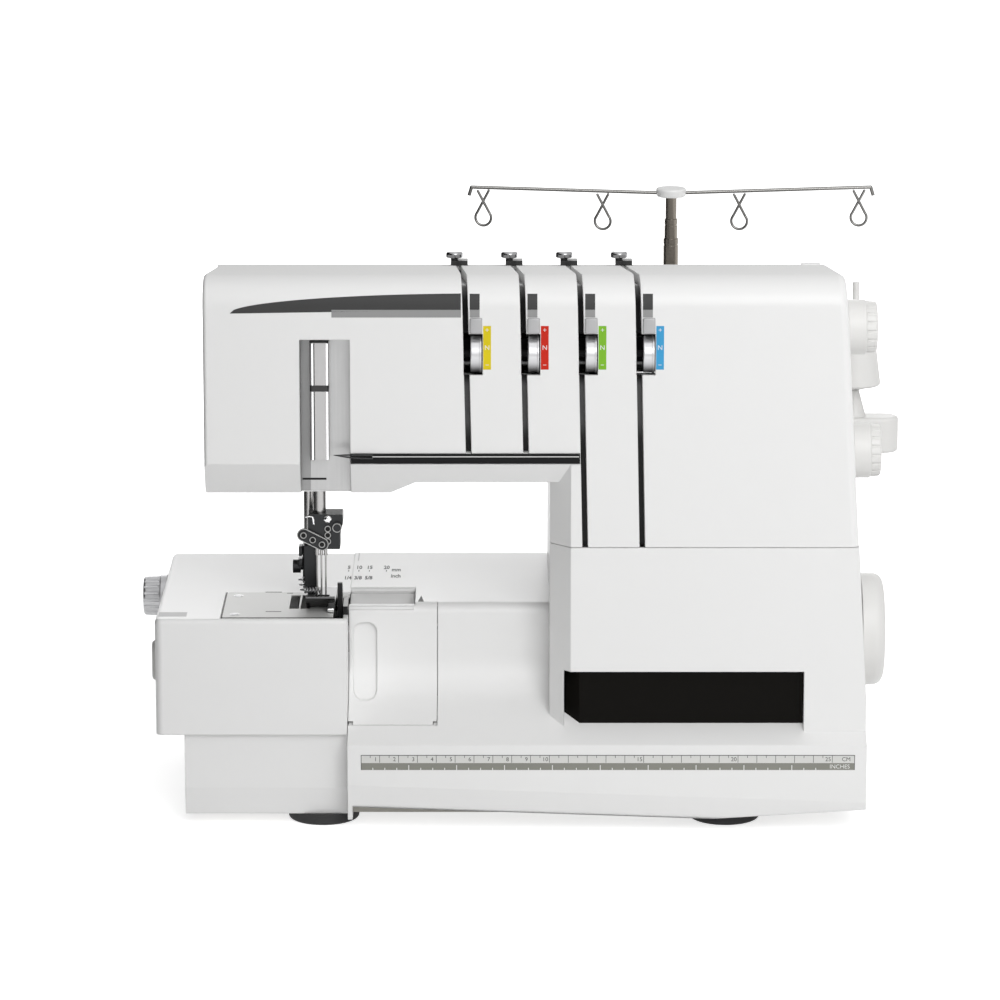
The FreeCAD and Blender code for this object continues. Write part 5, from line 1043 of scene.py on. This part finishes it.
@dataclass
class BaseRuler(Assembly):
    """Printed ruler on the base: centimetres on white above, inches on grey below."""

    left: float = 109.2
    right: float = 371.2
    front: float = -168.0
    low: float = 34.5
    middle: float = 38.3
    high: float = 42.7
    sunk: float = 0.05
    field_proud: float = 0.06
    mark_proud: float = 0.1
    line: float = 0.35
    half_centimetre: float = 5.0
    half_count: int = 50
    half_tick: float = 1.5
    tick_half: float = 0.14
    tick_drop: float = 0.1
    quarter_inch: float = 6.35
    quarter_count: int = 38
    quarter_tick: float = 1.2
    inch_tick: float = 2.7
    inch_tick_half: float = 0.22
    inch_tick_rise: float = 0.05
    digit: float = 2.3
    letter_thick: float = 0.06
    letter_proud: float = 0.08
    numbered: tuple[int, ...] = (1, 2, 3, 4, 5, 6, 7, 8, 9, 10, 15, 20, 25)
    number_shift: float = -2.2
    centimetre_row: float = 40.3
    centimetre_word: float = 4.6
    inch_row: float = 36.3
    inch_word: float = 8.0

    def build(self) -> None:
        """Make the two fields, the lines and ticks, and the numbers."""
        for name, low, high, finish in (("ruler_white", self.middle, self.high, RULER_WHITE),
                                        ("ruler_grey", self.low, self.middle, RULER_GREY)):
            field = self.sheet([self.left], [self.right], [low], [high], self.field_proud)
            self.shop.piece(name, field, finish)
        self.shop.piece("ruler_lines", joined([self.lines(), self.numbers()]), MARK_INK)
        inches = self.word("INCHES", self.right - self.inch_word, self.inch_row)
        self.shop.piece("ruler_inches", joined([self.inches(), inches]), WHITE_INK)

    def sheet(self, left: Sequence[float], right: Sequence[float], low: Sequence[float],
              high: Sequence[float], proud: float) -> Shell:
        """Thin upright fields on the base's front, one for each entry of the limits.

        Args:
            left: Left sides.
            right: Right sides.
            low: Lower edges.
            high: Upper edges.
            proud: How far the fields stand out.

        Returns:
            All fields in one shell.
        """
        count = len(left)
        near = np.stack([left, np.full(count, self.front - proud), low], axis=1)
        far = np.stack([right, np.full(count, self.front + self.sunk), high], axis=1)
        return boxes(near, far)

    def lines(self) -> Shell:
        """Border and centimetre ticks: a long tick each centimetre and a short one each half.

        Returns:
            All lines in one shell.
        """
        left = [self.left, self.left, self.right - self.line]
        right = [self.right, self.left + self.line, self.right]
        low = [self.high - self.line, self.low, self.low]
        border = self.sheet(left, right, low, [self.high] * 3, self.mark_proud)
        half = np.arange(1, self.half_count + 1)
        place = self.left + half * self.half_centimetre
        reach = np.where(half % 2 == 0, self.high - self.middle - self.line, self.half_tick)
        top = np.full(len(half), self.high - self.tick_drop)
        ticks = self.sheet(place - self.tick_half, place + self.tick_half, top - reach, top, self.mark_proud)
        return joined([border, ticks])

    def numbers(self) -> Shell:
        """Centimetre numbers, each left of its long tick, and their unit.

        Returns:
            All numbers in one shell.
        """
        start = self.left + self.number_shift
        words = [self.word(str(count), start + count * 2 * self.half_centimetre, self.centimetre_row)
                 for count in self.numbered]
        words.append(self.word("CM", self.right - self.centimetre_word, self.centimetre_row))
        return joined(words)

    def inches(self) -> Shell:
        """Inch ticks from the lower edge: a tall one each inch and a short one each quarter.

        Returns:
            All ticks in one shell.
        """
        quarter = np.arange(1, self.quarter_count + 1)
        place = self.left + quarter * self.quarter_inch
        top = self.low + np.where(quarter % 4 == 0, self.inch_tick, self.quarter_tick)
        low = np.full(len(quarter), self.low + self.inch_tick_rise)
        half = self.inch_tick_half
        return self.sheet(place - half, place + half, low, top, self.mark_proud)

    def word(self, text: str, across: float, height: float) -> Shell:
        """Letters or a number on the ruler about a place on it."""
        place = upright(across, self.front - self.letter_proud, height)
        return lettering(text, self.digit, self.letter_thick, place)


@dataclass
class BedMarks(Assembly):
    """Prints on the bed, the strip in the bed's joint, and the apron under the edge above the door."""

    top: float = 114.0
    proud: float = 0.06
    columns: tuple[float, ...] = (99.6, 105.2, 111.0, 120.4)
    millimetres: tuple[str, ...] = ("5", "10", "15", "20")
    fractions: tuple[str, ...] = ("1/4", "3/8", "5/8")
    units: tuple[str, str] = ("mm", "inch")
    number_row: float = -36.5
    tick_row: Span = (-46.0, -42.5)
    fraction_row: float = -61.5
    unit_column: float = 125.8
    unit_rows: Span = (-42.0, -57.0)
    stretch: float = 3.2
    letter: float = 2.4
    bold: float = 0.1
    tick_half: float = 0.25
    joint_x: Span = (101.6, 102.1)
    joint_y: Span = (-95.4, -0.4)
    joint_depth: Span = (1.0, 0.03)
    line_x: Span = (104.0, 104.6)
    line_y: Span = (-20.0, -1.0)
    pointer_x: Span = (138.9, 142.1)
    pointer_y: Span = (-116.6, -103.0)
    apron_low: Place = (102.4, -84.95, 108.6)
    apron_high: Place = (137.2, -84.4, 111.6)
    faint_x: Span = (1.6, 16.6)
    faint_y: Span = (-150.5, -141.0)

    def build(self) -> None:
        """Make the seam guide, the joint strip, the apron, the line, the faint mark and the pointer."""
        shells = [self.flat((x - self.tick_half, x + self.tick_half), self.tick_row) for x in self.columns]
        shells += [self.word(text, x, self.number_row) for text, x in zip(self.millimetres, self.columns)]
        shells += [self.word(text, x, self.fraction_row) for text, x in zip(self.fractions, self.columns)]
        shells += [self.word(text, self.unit_column, y) for text, y in zip(self.units, self.unit_rows)]
        self.shop.piece("seam_guide_print", joined(shells), BLACK_INK)
        deep, shallow = self.joint_depth
        joint = slab(self.joint_x, self.joint_y, (self.top - deep, self.top - shallow))
        self.shop.piece("bed_joint_strip", joint, WHITE_MOULDING)
        self.shop.piece("bed_apron", boxes(self.apron_low, self.apron_high), WHITE_MOULDING)
        self.shop.piece("bed_line", self.flat(self.line_x, self.line_y), FAINT_INK)
        self.shop.piece("bed_mark", self.flat(self.faint_x, self.faint_y), FAINT_INK)
        left, right = self.pointer_x
        near, tip = self.pointer_y
        corners = [(left, near), (right, near), ((left + right) / 2, tip)]
        rows = [[(x, y, z) for x, y in corners] for z in (self.top - self.proud, self.top + self.proud)]
        self.shop.piece("bed_pointer", rows_shell(np.array(rows)), BLACK_INK)

    def flat(self, x: Span, y: Span) -> Shell:
        """Thin field that lies on the bed between its limits."""
        return slab(x, y, (self.top - self.proud, self.top + self.proud))

    def word(self, text: str, across: float, back: float) -> Shell:
        """Letters that lie on the bed, drawn out towards the back.

        Args:
            text: Characters to set.
            across: x of their middle.
            back: y of their middle.

        Returns:
            The letters as one shell.
        """
        middle = np.array([across, back, self.top + self.proud / 2])
        pull = np.array([1.0, self.stretch, 1.0])
        return lettering(text, self.letter, self.proud, lambda flat: middle + pull * flat, self.bold)


@dataclass
class TakeUpRecess(Assembly):
    """Take-up recess lining with painted shade on its left, painted guard edge highlights and a painted dark
    thread slot.
    """

    left: float = 77.9
    right: float = 104.4
    # Where the painted shade on the lining ends
    shade_end: float = 83.0
    low: float = 181.2
    band_top: float = 198.1
    band_slope: float = 0.63
    high: float = 264.5
    near: float = -157.2
    floor: float = -144.0
    thick: float = 0.3
    clearance: float = 0.02
    guard_left: float = 83.1
    guard_front: float = -152.0
    guard_low: float = 199.2
    guard_high: float = 261.6
    guard_split: Span = (235.8, 239.2)
    edges: tuple[Span, ...] = ((1.0, 1.9), (8.6, 9.7))
    groove: Span = (2.1, 2.6)
    strip_proud: float = 0.12
    slot_x: Span = (78.6, 91.3)
    slot_z: Span = (186.9, 188.0)
    slot_proud: float = 0.2
    slot_round: float = 0.15

    def build(self) -> None:
        """Make the lining, its left half with painted shade, the guard's painted highlights and dark strip,
        and the slot.
        """
        silver = {"slot": Slot.SILVER}
        floor = (self.floor - self.thick, self.floor - self.clearance)
        heights = (self.low, self.high)
        # The left half takes the darker copy of the lining, as painted shade
        shaded = [slab((self.left + self.thick, self.shade_end), floor, heights),
                  self.wall(self.left + self.clearance, self.left + self.thick)]
        self.shop.piece("recess_lining_painted_shade", joined(shaded), PAINTED_SHADE_LINING, **silver)
        bright = [slab((self.shade_end, self.right - self.thick), floor, heights),
                  self.wall(self.right - self.thick, self.right - self.clearance)]
        self.shop.piece("recess_lining", joined(bright), LINING, **silver)
        # A black block paints the shade in the thread slot's opening
        slot = rounded_block((self.slot_x[0], floor[0] - self.slot_proud, self.slot_z[0]),
                             (self.slot_x[1], floor[0] + self.slot_proud, self.slot_z[1]), self.slot_round)
        self.shop.piece("recess_thread_slot_shade", slot, BLACK_INK, slot=Slot.BLACK)
        # Chrome strips paint the highlights on the guard's satin edges; a dark strip lies right of the first
        self.shop.piece("guard_edge_highlights", joined(self.strip(*edge) for edge in self.edges), CHROME, **silver)
        self.shop.piece("guard_dark_line", self.strip(*self.groove), GUN_STEEL, **silver)

    def wall(self, left: float, right: float) -> Shell:
        """Side of the lining, cut back along the sloped band under the front face.

        Args:
            left: Left side of the sheet.
            right: Right side of the sheet.

        Returns:
            The closed sheet.
        """
        back = self.near + (self.band_top - self.low) * self.band_slope
        outline = [(self.near, self.high), (self.near, self.band_top), (back, self.low),
                   (self.floor, self.low), (self.floor, self.high)]
        return rows_shell(np.array([[(x, y, z) for y, z in outline] for x in (left, right)]))

    def strip(self, start: float, end: float) -> Shell:
        """Upright strip on the guard's front, above and below its dark band.

        Args:
            start: Left side, from the guard's left side.
            end: Right side, from the guard's left side.

        Returns:
            Both lengths of the strip.
        """
        x = (self.guard_left + start, self.guard_left + end)
        y = (self.guard_front - self.strip_proud, self.guard_front + self.strip_proud)
        heights = ((self.guard_low, self.guard_split[0]), (self.guard_split[1], self.guard_high))
        return joined(slab(x, y, z) for z in heights)


@dataclass
class ThreadHook(Assembly):
    """Two pointed wires that run out of the rail's left end, and a thin light strip along the rail that
    paints its highlight.
    """

    start: float = 116.0
    tip: float = 95.2
    front: float = -159.3
    bend: float = 2.6
    height: float = 203.4
    fall: float = 0.6
    spread: float = 1.9
    radius: float = 0.5
    taper_from: float = 1.15
    taper_to: float = 0.15
    steps: int = 24
    # Light strip along the rail: a painted highlight
    bead_right: float = 224.6
    bead_y: Span = (-158.95, -158.85)
    bead_z: Span = (202.1, 202.6)

    def build(self) -> None:
        """Make the wires, which close in on one point and thin towards it, and the strip of painted
        highlight.
        """
        share = np.linspace(0, 1, self.steps)
        thin = self.radius * np.clip(self.taper_from - share ** 3, self.taper_to, 1.0)
        wires = []
        for lift in (0.0, -self.spread):
            path = np.column_stack([self.start + (self.tip - self.start) * share,
                                    self.front + self.bend * share ** 2,
                                    self.height + (lift * (1 - share ** 2) - self.fall * share ** 2)])
            wires.append(tube(path, thin, (0, 0, 1)))
        self.shop.piece("thread_hook", joined(wires), GUN_STEEL, slot=Slot.DARK_STEEL, smooth=True)
        glint = slab((self.start, self.bead_right), self.bead_y, self.bead_z)
        self.shop.piece("rail_glint", glint, HIGHLIGHT_STEEL, slot=Slot.DARK_STEEL)


@dataclass
class PlateDetails(Assembly):
    """Screws and engraved lines of the needle plate."""

    top: float = 114.1
    screws: tuple[Span, ...] = ((42.0, -104.0), (42.0, -146.0))
    screw_radius: float = 2.6
    screw_edge: float = 0.4
    screw_sunk: float = 0.4
    screw_rim: float = 0.1
    screw_shoulder: float = 0.22
    screw_crown: float = 0.25
    slot_half: Span = (2.0, 0.3)
    slot_z: Span = (0.2, 0.28)
    lines: tuple[Place, ...] = ((56.1, 65.0, -95.9), (67.8, 71.1, -98.6), (58.2, 66.5, -140.4))
    line_width: float = 1.3
    line_proud: float = 0.05
    side_line: float = 0.7
    front_line: float = 2.0

    def build(self) -> None:
        """Make two screws with painted shade in their slots, short guide lines and dark lines along two
        edges of the plate.
        """
        profile = ((-self.screw_sunk, PINCH), (-self.screw_sunk, self.screw_radius),
                   (self.screw_rim, self.screw_radius),
                   (self.screw_shoulder, self.screw_radius - self.screw_edge), (self.screw_crown, PINCH))
        heads = [lathe(profile, (x, y, self.top), axis=2) for x, y in self.screws]
        self.shop.piece("plate_screws", joined(heads), GROUND_STEEL, slot=Slot.STEEL, smooth=True)
        # Dark films across the screw heads paint the shade in their slots
        along, across = self.slot_half
        slot_z = (self.top + self.slot_z[0], self.top + self.slot_z[1])
        marks = [slab((x - along, x + along), (y - across, y + across), slot_z) for x, y in self.screws]
        film = (self.top - self.line_proud, self.top + self.line_proud)
        marks += [slab((left, right), (y, y + self.line_width), film) for left, right, y in self.lines]
        low, high = self.shop.datum.box("needle_plate")
        marks.append(slab((low[0], low[0] + self.side_line), (low[1], high[1]), film))
        marks.append(slab((low[0], high[0]), (low[1], low[1] + self.front_line), film))
        self.shop.piece("plate_lines", joined(marks), MARK_INK, slot=Slot.STEEL)


@dataclass
class NeedleDetails(Assembly):
    """Small pieces on the needle clamp: painted highlight rings, painted shade in the sockets, a dome and a
    thread hook.
    """

    needle_x: float = 86.5
    clamp_low: float = 143.0
    front: float = -125.0
    yoke_thick: float = 2.0
    yoke_start: Span = (-8.3, 10.0)
    yoke_end: Span = (1.5, 5.0)
    yoke_radius: float = 3.3
    yoke_screws: tuple[float, ...] = (0.0, 0.5, 1.0)
    yoke_steps: int = 14
    screw_stand: float = 1.2
    screw_radius: float = 1.5
    socket_y: Span = (-0.05, 0.1)
    # Wire of the light rings that paint highlights on the clamp's edges
    rim_wire: float = 0.27
    rim_steps: int = 20
    column_x: float = 4.6
    column_z: tuple[float, ...] = (6.3, 9.7, 13.1)
    thumb: Span = (9.6, 14.0)
    thumb_stand: float = 2.6
    thumb_radius: float = 2.3
    dome: Span = (4.6, 18.2)
    dome_radius: float = 2.4
    dome_flat: float = 0.6
    dome_sunk: float = 0.3
    dome_steps: int = 7
    hook: tuple[Span, ...] = ((-7.2, 19.4), (-5.4, 19.9), (-3.4, 19.6), (-3.0, 18.0), (-2.9, 15.6))
    hook_wire: float = 0.6

    def build(self) -> None:
        """Make the highlight rings, the socket shade, the dome and the hook, all on the needle bar's body.
        """
        start, end = np.array(self.yoke_start), np.array(self.yoke_end)
        screws = [(*(start + (end - start) * share), self.front - self.yoke_thick - self.screw_stand)
                  for share in self.yoke_screws]
        screws += [(self.column_x, z, self.front - self.screw_stand) for z in self.column_z]
        highlight_rings = [self.ring(self.at(x, y, z), self.screw_radius) for x, z, y in screws]
        thumb = self.at(self.thumb[0], self.front - self.thumb_stand, self.thumb[1])
        highlight_rings += [self.ring(thumb, self.thumb_radius), self.yoke_rim()]
        self.shop.piece("clamp_highlight_rings", joined(highlight_rings), HIGHLIGHT_STEEL, Body.NEEDLES, Slot.STEEL, smooth=True)
        # Dark discs in the screws' sockets paint the shade in them
        inner = self.screw_radius - self.rim_wire
        profile = np.column_stack([np.repeat(self.socket_y, 2), (PINCH, inner, inner, PINCH)])
        sockets = [lathe(profile, self.at(x, y, z), axis=1) for x, z, y in screws]
        self.shop.piece("clamp_socket_shade", joined(sockets), BLACK_INK, Body.NEEDLES, Slot.DARK_STEEL)
        path = np.array([self.at(x, self.front - self.hook_wire, z) for x, z in self.hook])
        hook = tube(path, self.hook_wire, (0, 1, 0))
        self.shop.piece("clamp_hook", joined([self.dome_shell(), hook]), CHROME, Body.NEEDLES, Slot.CHROME,
                        smooth=True)

    def at(self, x: float, y: float, z: float) -> Place:
        """Place from the needle bar's middle and the clamp's lower edge."""
        return self.needle_x + x, y, self.clamp_low + z

    def dome_shell(self) -> Shell:
        """Flattened dome on the clamp's front: a quarter of an ellipse, turned.

        Returns:
            The closed dome.
        """
        turn = np.linspace(0, math.pi / 2, self.dome_steps)
        profile = [(-self.dome_radius * self.dome_flat * math.cos(angle),
                    max(self.dome_radius * math.sin(angle), PINCH)) for angle in turn]
        middle = self.at(self.dome[0], self.front, self.dome[1])
        return lathe(profile + [(self.dome_sunk, PINCH)], middle, axis=1)

    def ring(self, middle: Place, radius: float) -> Shell:
        """Thin light ring around a screw's head: a painted highlight on its edge.

        Args:
            middle: Middle of the ring.
            radius: Radius of the ring.

        Returns:
            The closed ring.
        """
        angle = np.linspace(0, 2 * math.pi, self.rim_steps, endpoint=False)
        return self.rim(middle[0] + radius * np.cos(angle), middle[1], middle[2] + radius * np.sin(angle))

    def yoke_rim(self) -> Shell:
        """Thin light line along the yoke's outline, a painted highlight: two half circles joined by straight
        runs.

        Returns:
            The closed rim.
        """
        start, end = np.array(self.yoke_start), np.array(self.yoke_end)
        along = math.atan2(end[1] - start[1], end[0] - start[0])
        half_turn = np.linspace(0, math.pi, self.yoke_steps)
        ends = [(start, along + math.pi / 2 + half_turn), (end, along - math.pi / 2 + half_turn)]
        flat = np.vstack([middle + self.yoke_radius * np.column_stack([np.cos(angle), np.sin(angle)])
                          for middle, angle in ends])
        depth = self.front - self.yoke_thick
        return self.rim(self.needle_x + flat[:, 0], depth, self.clamp_low + flat[:, 1])

    def rim(self, x: Points, y: float, z: Points) -> Shell:
        """Thin wire along a closed outline that stands upright at one depth."""
        path = np.column_stack([x, np.full(len(x), y), z])
        return tube(path, self.rim_wire, (0, 1, 0), around=6, looped=True)


@dataclass
class PresserDetails(Assembly):
    """Small pieces on the foot holder: its side lugs, two springs and the foot's guide.

    A spring is given by both ends of its line, its turns and a direction across the line.
    """

    lugs: tuple[tuple[Place, Place], ...] = (((74.8, -109.0, 137.2), (76.8, -101.0, 142.6)),
                                             ((74.4, -109.0, 131.6), (76.8, -101.0, 135.4)))
    lug_round: float = 0.5
    springs: tuple[tuple[Place, Place, float, Place], ...] = (
        ((76.0, -110.2, 126.0), (77.4, -110.2, 117.6), 3.0, (1, 0, 0)),
        ((77.6, -111.2, 119.0), (87.0, -111.2, 119.0), 6.0, (0, 0, 1)))
    spring_radius: float = 1.5
    spring_wire: float = 0.42
    guide_dark: tuple[Place, Place] = ((91.6, -142.6, 115.6), (95.0, -139.4, 119.6))
    guide_bright: tuple[Place, Place] = ((91.2, -143.4, 114.6), (94.6, -141.0, 116.6))
    guide_round: float = 0.3

    def build(self) -> None:
        """Make the lugs, the springs and the guide, all on the presser bar's body."""
        springs = joined(helix(start, end, self.spring_radius, turns, self.spring_wire, side)
                         for start, end, turns, side in self.springs)
        lugs = joined(rounded_block(*lug, self.lug_round) for lug in self.lugs)
        guide = rounded_block(*self.guide_dark, self.guide_round)
        tip = rounded_block(*self.guide_bright, self.guide_round)
        for name, shell, finish, slot in (("holder_lugs", lugs, GUN_STEEL, Slot.DARK_STEEL),
                                          ("foot_springs", springs, GROUND_STEEL, Slot.STEEL),
                                          ("foot_guide", guide, BLACK_MATT, Slot.DARK_STEEL),
                                          ("foot_guide_tip", tip, CHROME, Slot.CHROME)):
            self.shop.piece(name, shell, finish, Body.PRESSER, slot, smooth=True)


@dataclass
class RearLug(Assembly):
    """Low moulded lug on the rear top edge, at the right."""

    low: Place = (349.0, -5.0, 275.5)
    high: Place = (360.0, -0.6, 279.0)
    edge: float = 0.9

    def build(self) -> None:
        """Make the lug as one rounded block."""
        lug = rounded_block(self.low, self.high, self.edge)
        self.shop.piece("rear_lug", lug, WHITE_MOULDING, smooth=True)


@dataclass
class SwitchMarks(Assembly):
    """On mark on the power rocker, a plain upright bar."""

    right: float = 380.3
    middle: float = -23.0
    axle: float = 55.9
    offset: float = 3.0
    inset: Span = (0.75, 0.5)
    half_width: float = 0.25
    half_height: float = 1.3

    def build(self) -> None:
        """Make the bar, half sunk in the rocker's upper face."""
        height = self.axle + self.offset
        deep, shallow = self.inset
        bar = slab((self.right - deep, self.right - shallow),
                   (self.middle - self.half_width, self.middle + self.half_width),
                   (height - self.half_height, height + self.half_height))
        self.shop.piece("rocker_on_mark", bar, WHITE_INK, Body.ROCKER, Slot.BLACK)


def seen(graph: Graph) -> Socket:
    """Put out 1 for what the camera sees straight, mirrored or through glass, and 0 for light.

    Args:
        graph: Graph to add the nodes to.

    Returns:
        Output socket of the mask.
    """
    path = graph.add("ShaderNodeLightPath").outputs
    straight_or_mirrored = graph.math("MAXIMUM", path["Is Camera Ray"], path["Is Glossy Ray"])
    return graph.math("MAXIMUM", straight_or_mirrored, path["Is Transmission Ray"])


@dataclass(frozen=True)
class Lamp:
    """Square soft lamp that looks at the middle of the machine, in metres and watts."""

    name: str
    place: Place
    size: float
    power: float
    aim: Place = (0.0, 0.0, 0.16)

    def hang(self) -> None:
        """Hang the lamp, turned so that it looks at its aim."""
        data = bpy.data.lights.new(self.name, "AREA")
        data.size = self.size
        data.energy = self.power
        lamp = linked(self.name, data)
        lamp.location = self.place
        aim = np.array(self.aim) - np.array(self.place)
        yaw = math.atan2(aim[1], aim[0]) - math.pi / 2
        tilt = math.atan2(aim[2], math.hypot(aim[0], aim[1])) + math.pi / 2
        lamp.rotation_euler = (tilt, 0.0, yaw)


@dataclass
class Studio(Assembly):
    """Pale floor, soft lamps, a dark card, plain world and the camera at the photograph's angle.

    The camera's place is in millimetres from the machine's corner. Its clip distances, the floor, the
    card and the lamps are in metres in the shared frame.
    """

    camera_place: Place = (183.0, -2728.0, 744.0)
    pitch: float = 12.4
    lens: float = 180.0
    sensor: float = 36.0
    clip: Span = (0.05, 60.0)
    world_strength: float = 0.51
    floor_colour: float = 0.9
    floor_side: float = 14.0
    floor_glow: float = 0.72
    glow_near: float = 0.3
    glow_far: float = 0.9
    flag_x: float = -0.5
    flag_y: Span = (-1.0, 0.6)
    flag_z: Span = (0.04, 0.85)
    flag_colour: float = 0.02
    lamps: tuple[Lamp, ...] = (Lamp("key softbox", (0.5, -1.6, 1.1), 1.0, 13.5),
                               Lamp("top softbox", (0.35, -0.7, 1.8), 1.4, 5.0),
                               Lamp("rear softbox", (-0.1, 1.6, 0.45), 1.2, 6.0))

    def build(self) -> None:
        """Set up the camera, the floor, the world, the lamps and the card."""
        self.add_camera()
        self.add_floor()
        self.add_world()
        for lamp in self.lamps:
            lamp.hang()
        self.add_flag()

    def add_camera(self) -> None:
        """Stand the camera where the photograph was taken from, looking slightly down."""
        data = bpy.data.cameras.new("photo camera")
        data.lens = self.lens
        data.sensor_width = self.sensor
        data.clip_start, data.clip_end = self.clip
        camera = linked("photo camera", data)
        camera.location = self.shop.datum.place(np.array(self.camera_place)).tolist()
        camera.rotation_euler = (math.radians(90.0 - self.pitch), 0.0, 0.0)
        bpy.context.scene.camera = camera

    @staticmethod
    def sheet(name: str, corners: Sequence[Place], material: Material) -> Object:
        """Make a flat sheet of one face.

        Args:
            name: Name of the sheet.
            corners: Its corners in order, in metres.
            material: Its material.

        Returns:
            The new object.
        """
        mesh = bpy.data.meshes.new(name)
        mesh.from_pydata(corners, [], [(0, 1, 2, 3)])
        mesh.materials.append(material)
        return linked(name, mesh)

    def add_floor(self) -> None:
        """Lay a pale floor that keeps the object's shadow and is white to the camera further off.

        The glow that the camera sees rises from a share near the object to full white far from it,
        by a smooth step of the distance from the origin.
        """
        material, graph = new_material("pale floor")
        place = graph.add("ShaderNodeTexCoord").outputs["Object"]
        distance = graph.add("ShaderNodeVectorMath", {0: place}, operation="LENGTH").outputs["Value"]
        share = graph.mix_value(graph.ramp(distance, self.glow_near, self.glow_far), self.floor_glow, 1.0)
        matt = graph.add("ShaderNodeBsdfDiffuse", {"Color": (*grey(self.floor_colour), 1.0)})
        glow = graph.add("ShaderNodeEmission", {"Strength": graph.math("MULTIPLY", seen(graph), share)})
        both = graph.add("ShaderNodeAddShader", {0: matt.outputs[0], 1: glow.outputs[0]})
        graph.add("ShaderNodeOutputMaterial", {"Surface": both.outputs[0]})
        side = self.floor_side
        corners = [(-side, -side, 0), (side, -side, 0), (side, side, 0), (-side, side, 0)]
        floor = self.sheet("floor", corners, material)

    def add_flag(self) -> None:
        """Stand a dark card left of the picture, unseen by the camera, that shades faces that look left."""
        material, graph = new_material("dark card")
        matt = graph.add("ShaderNodeBsdfDiffuse", {"Color": (*grey(self.flag_colour), 1.0)})
        graph.add("ShaderNodeOutputMaterial", {"Surface": matt.outputs[0]})
        near, far = self.flag_y
        low, high = self.flag_z
        corners = [(self.flag_x, y, z) for y, z in ((near, low), (far, low), (far, high), (near, high))]
        flag = self.sheet("flag", corners, material)
        flag.visible_camera = False

    def add_world(self) -> None:
        """Make the world white to the camera and to reflections, and plain for light."""
        world = bpy.data.worlds.new("studio world")
        bpy.context.scene.world = world
        world.use_nodes = True
        graph = Graph(world.node_tree)
        strength = graph.mix_value(seen(graph), self.world_strength, 1.0)
        sky = graph.add("ShaderNodeBackground", {"Color": (*grey(1.0), 1.0), "Strength": strength})
        graph.add("ShaderNodeOutputWorld", {"Surface": sky.outputs[0]})


def main() -> None:
    """Dress the nodes, build the printed and small pieces and set up the studio."""
    logging.basicConfig(level=logging.INFO, format="%(message)s")
    bpy.context.scene.view_settings.view_transform = "Standard"
    shop = Workshop()
    shop.dress_nodes()
    face = CoverFace()
    for part in (FrontStripe(shop, face), TensionMarks(shop, face), BaseRuler(shop), BedMarks(shop),
                 TakeUpRecess(shop), ThreadHook(shop), PlateDetails(shop), NeedleDetails(shop),
                 PresserDetails(shop), RearLug(shop), SwitchMarks(shop), Studio(shop)):
        log.info("building %s", type(part).__name__)
        part.build()


if __name__ == "__main__":
    main()
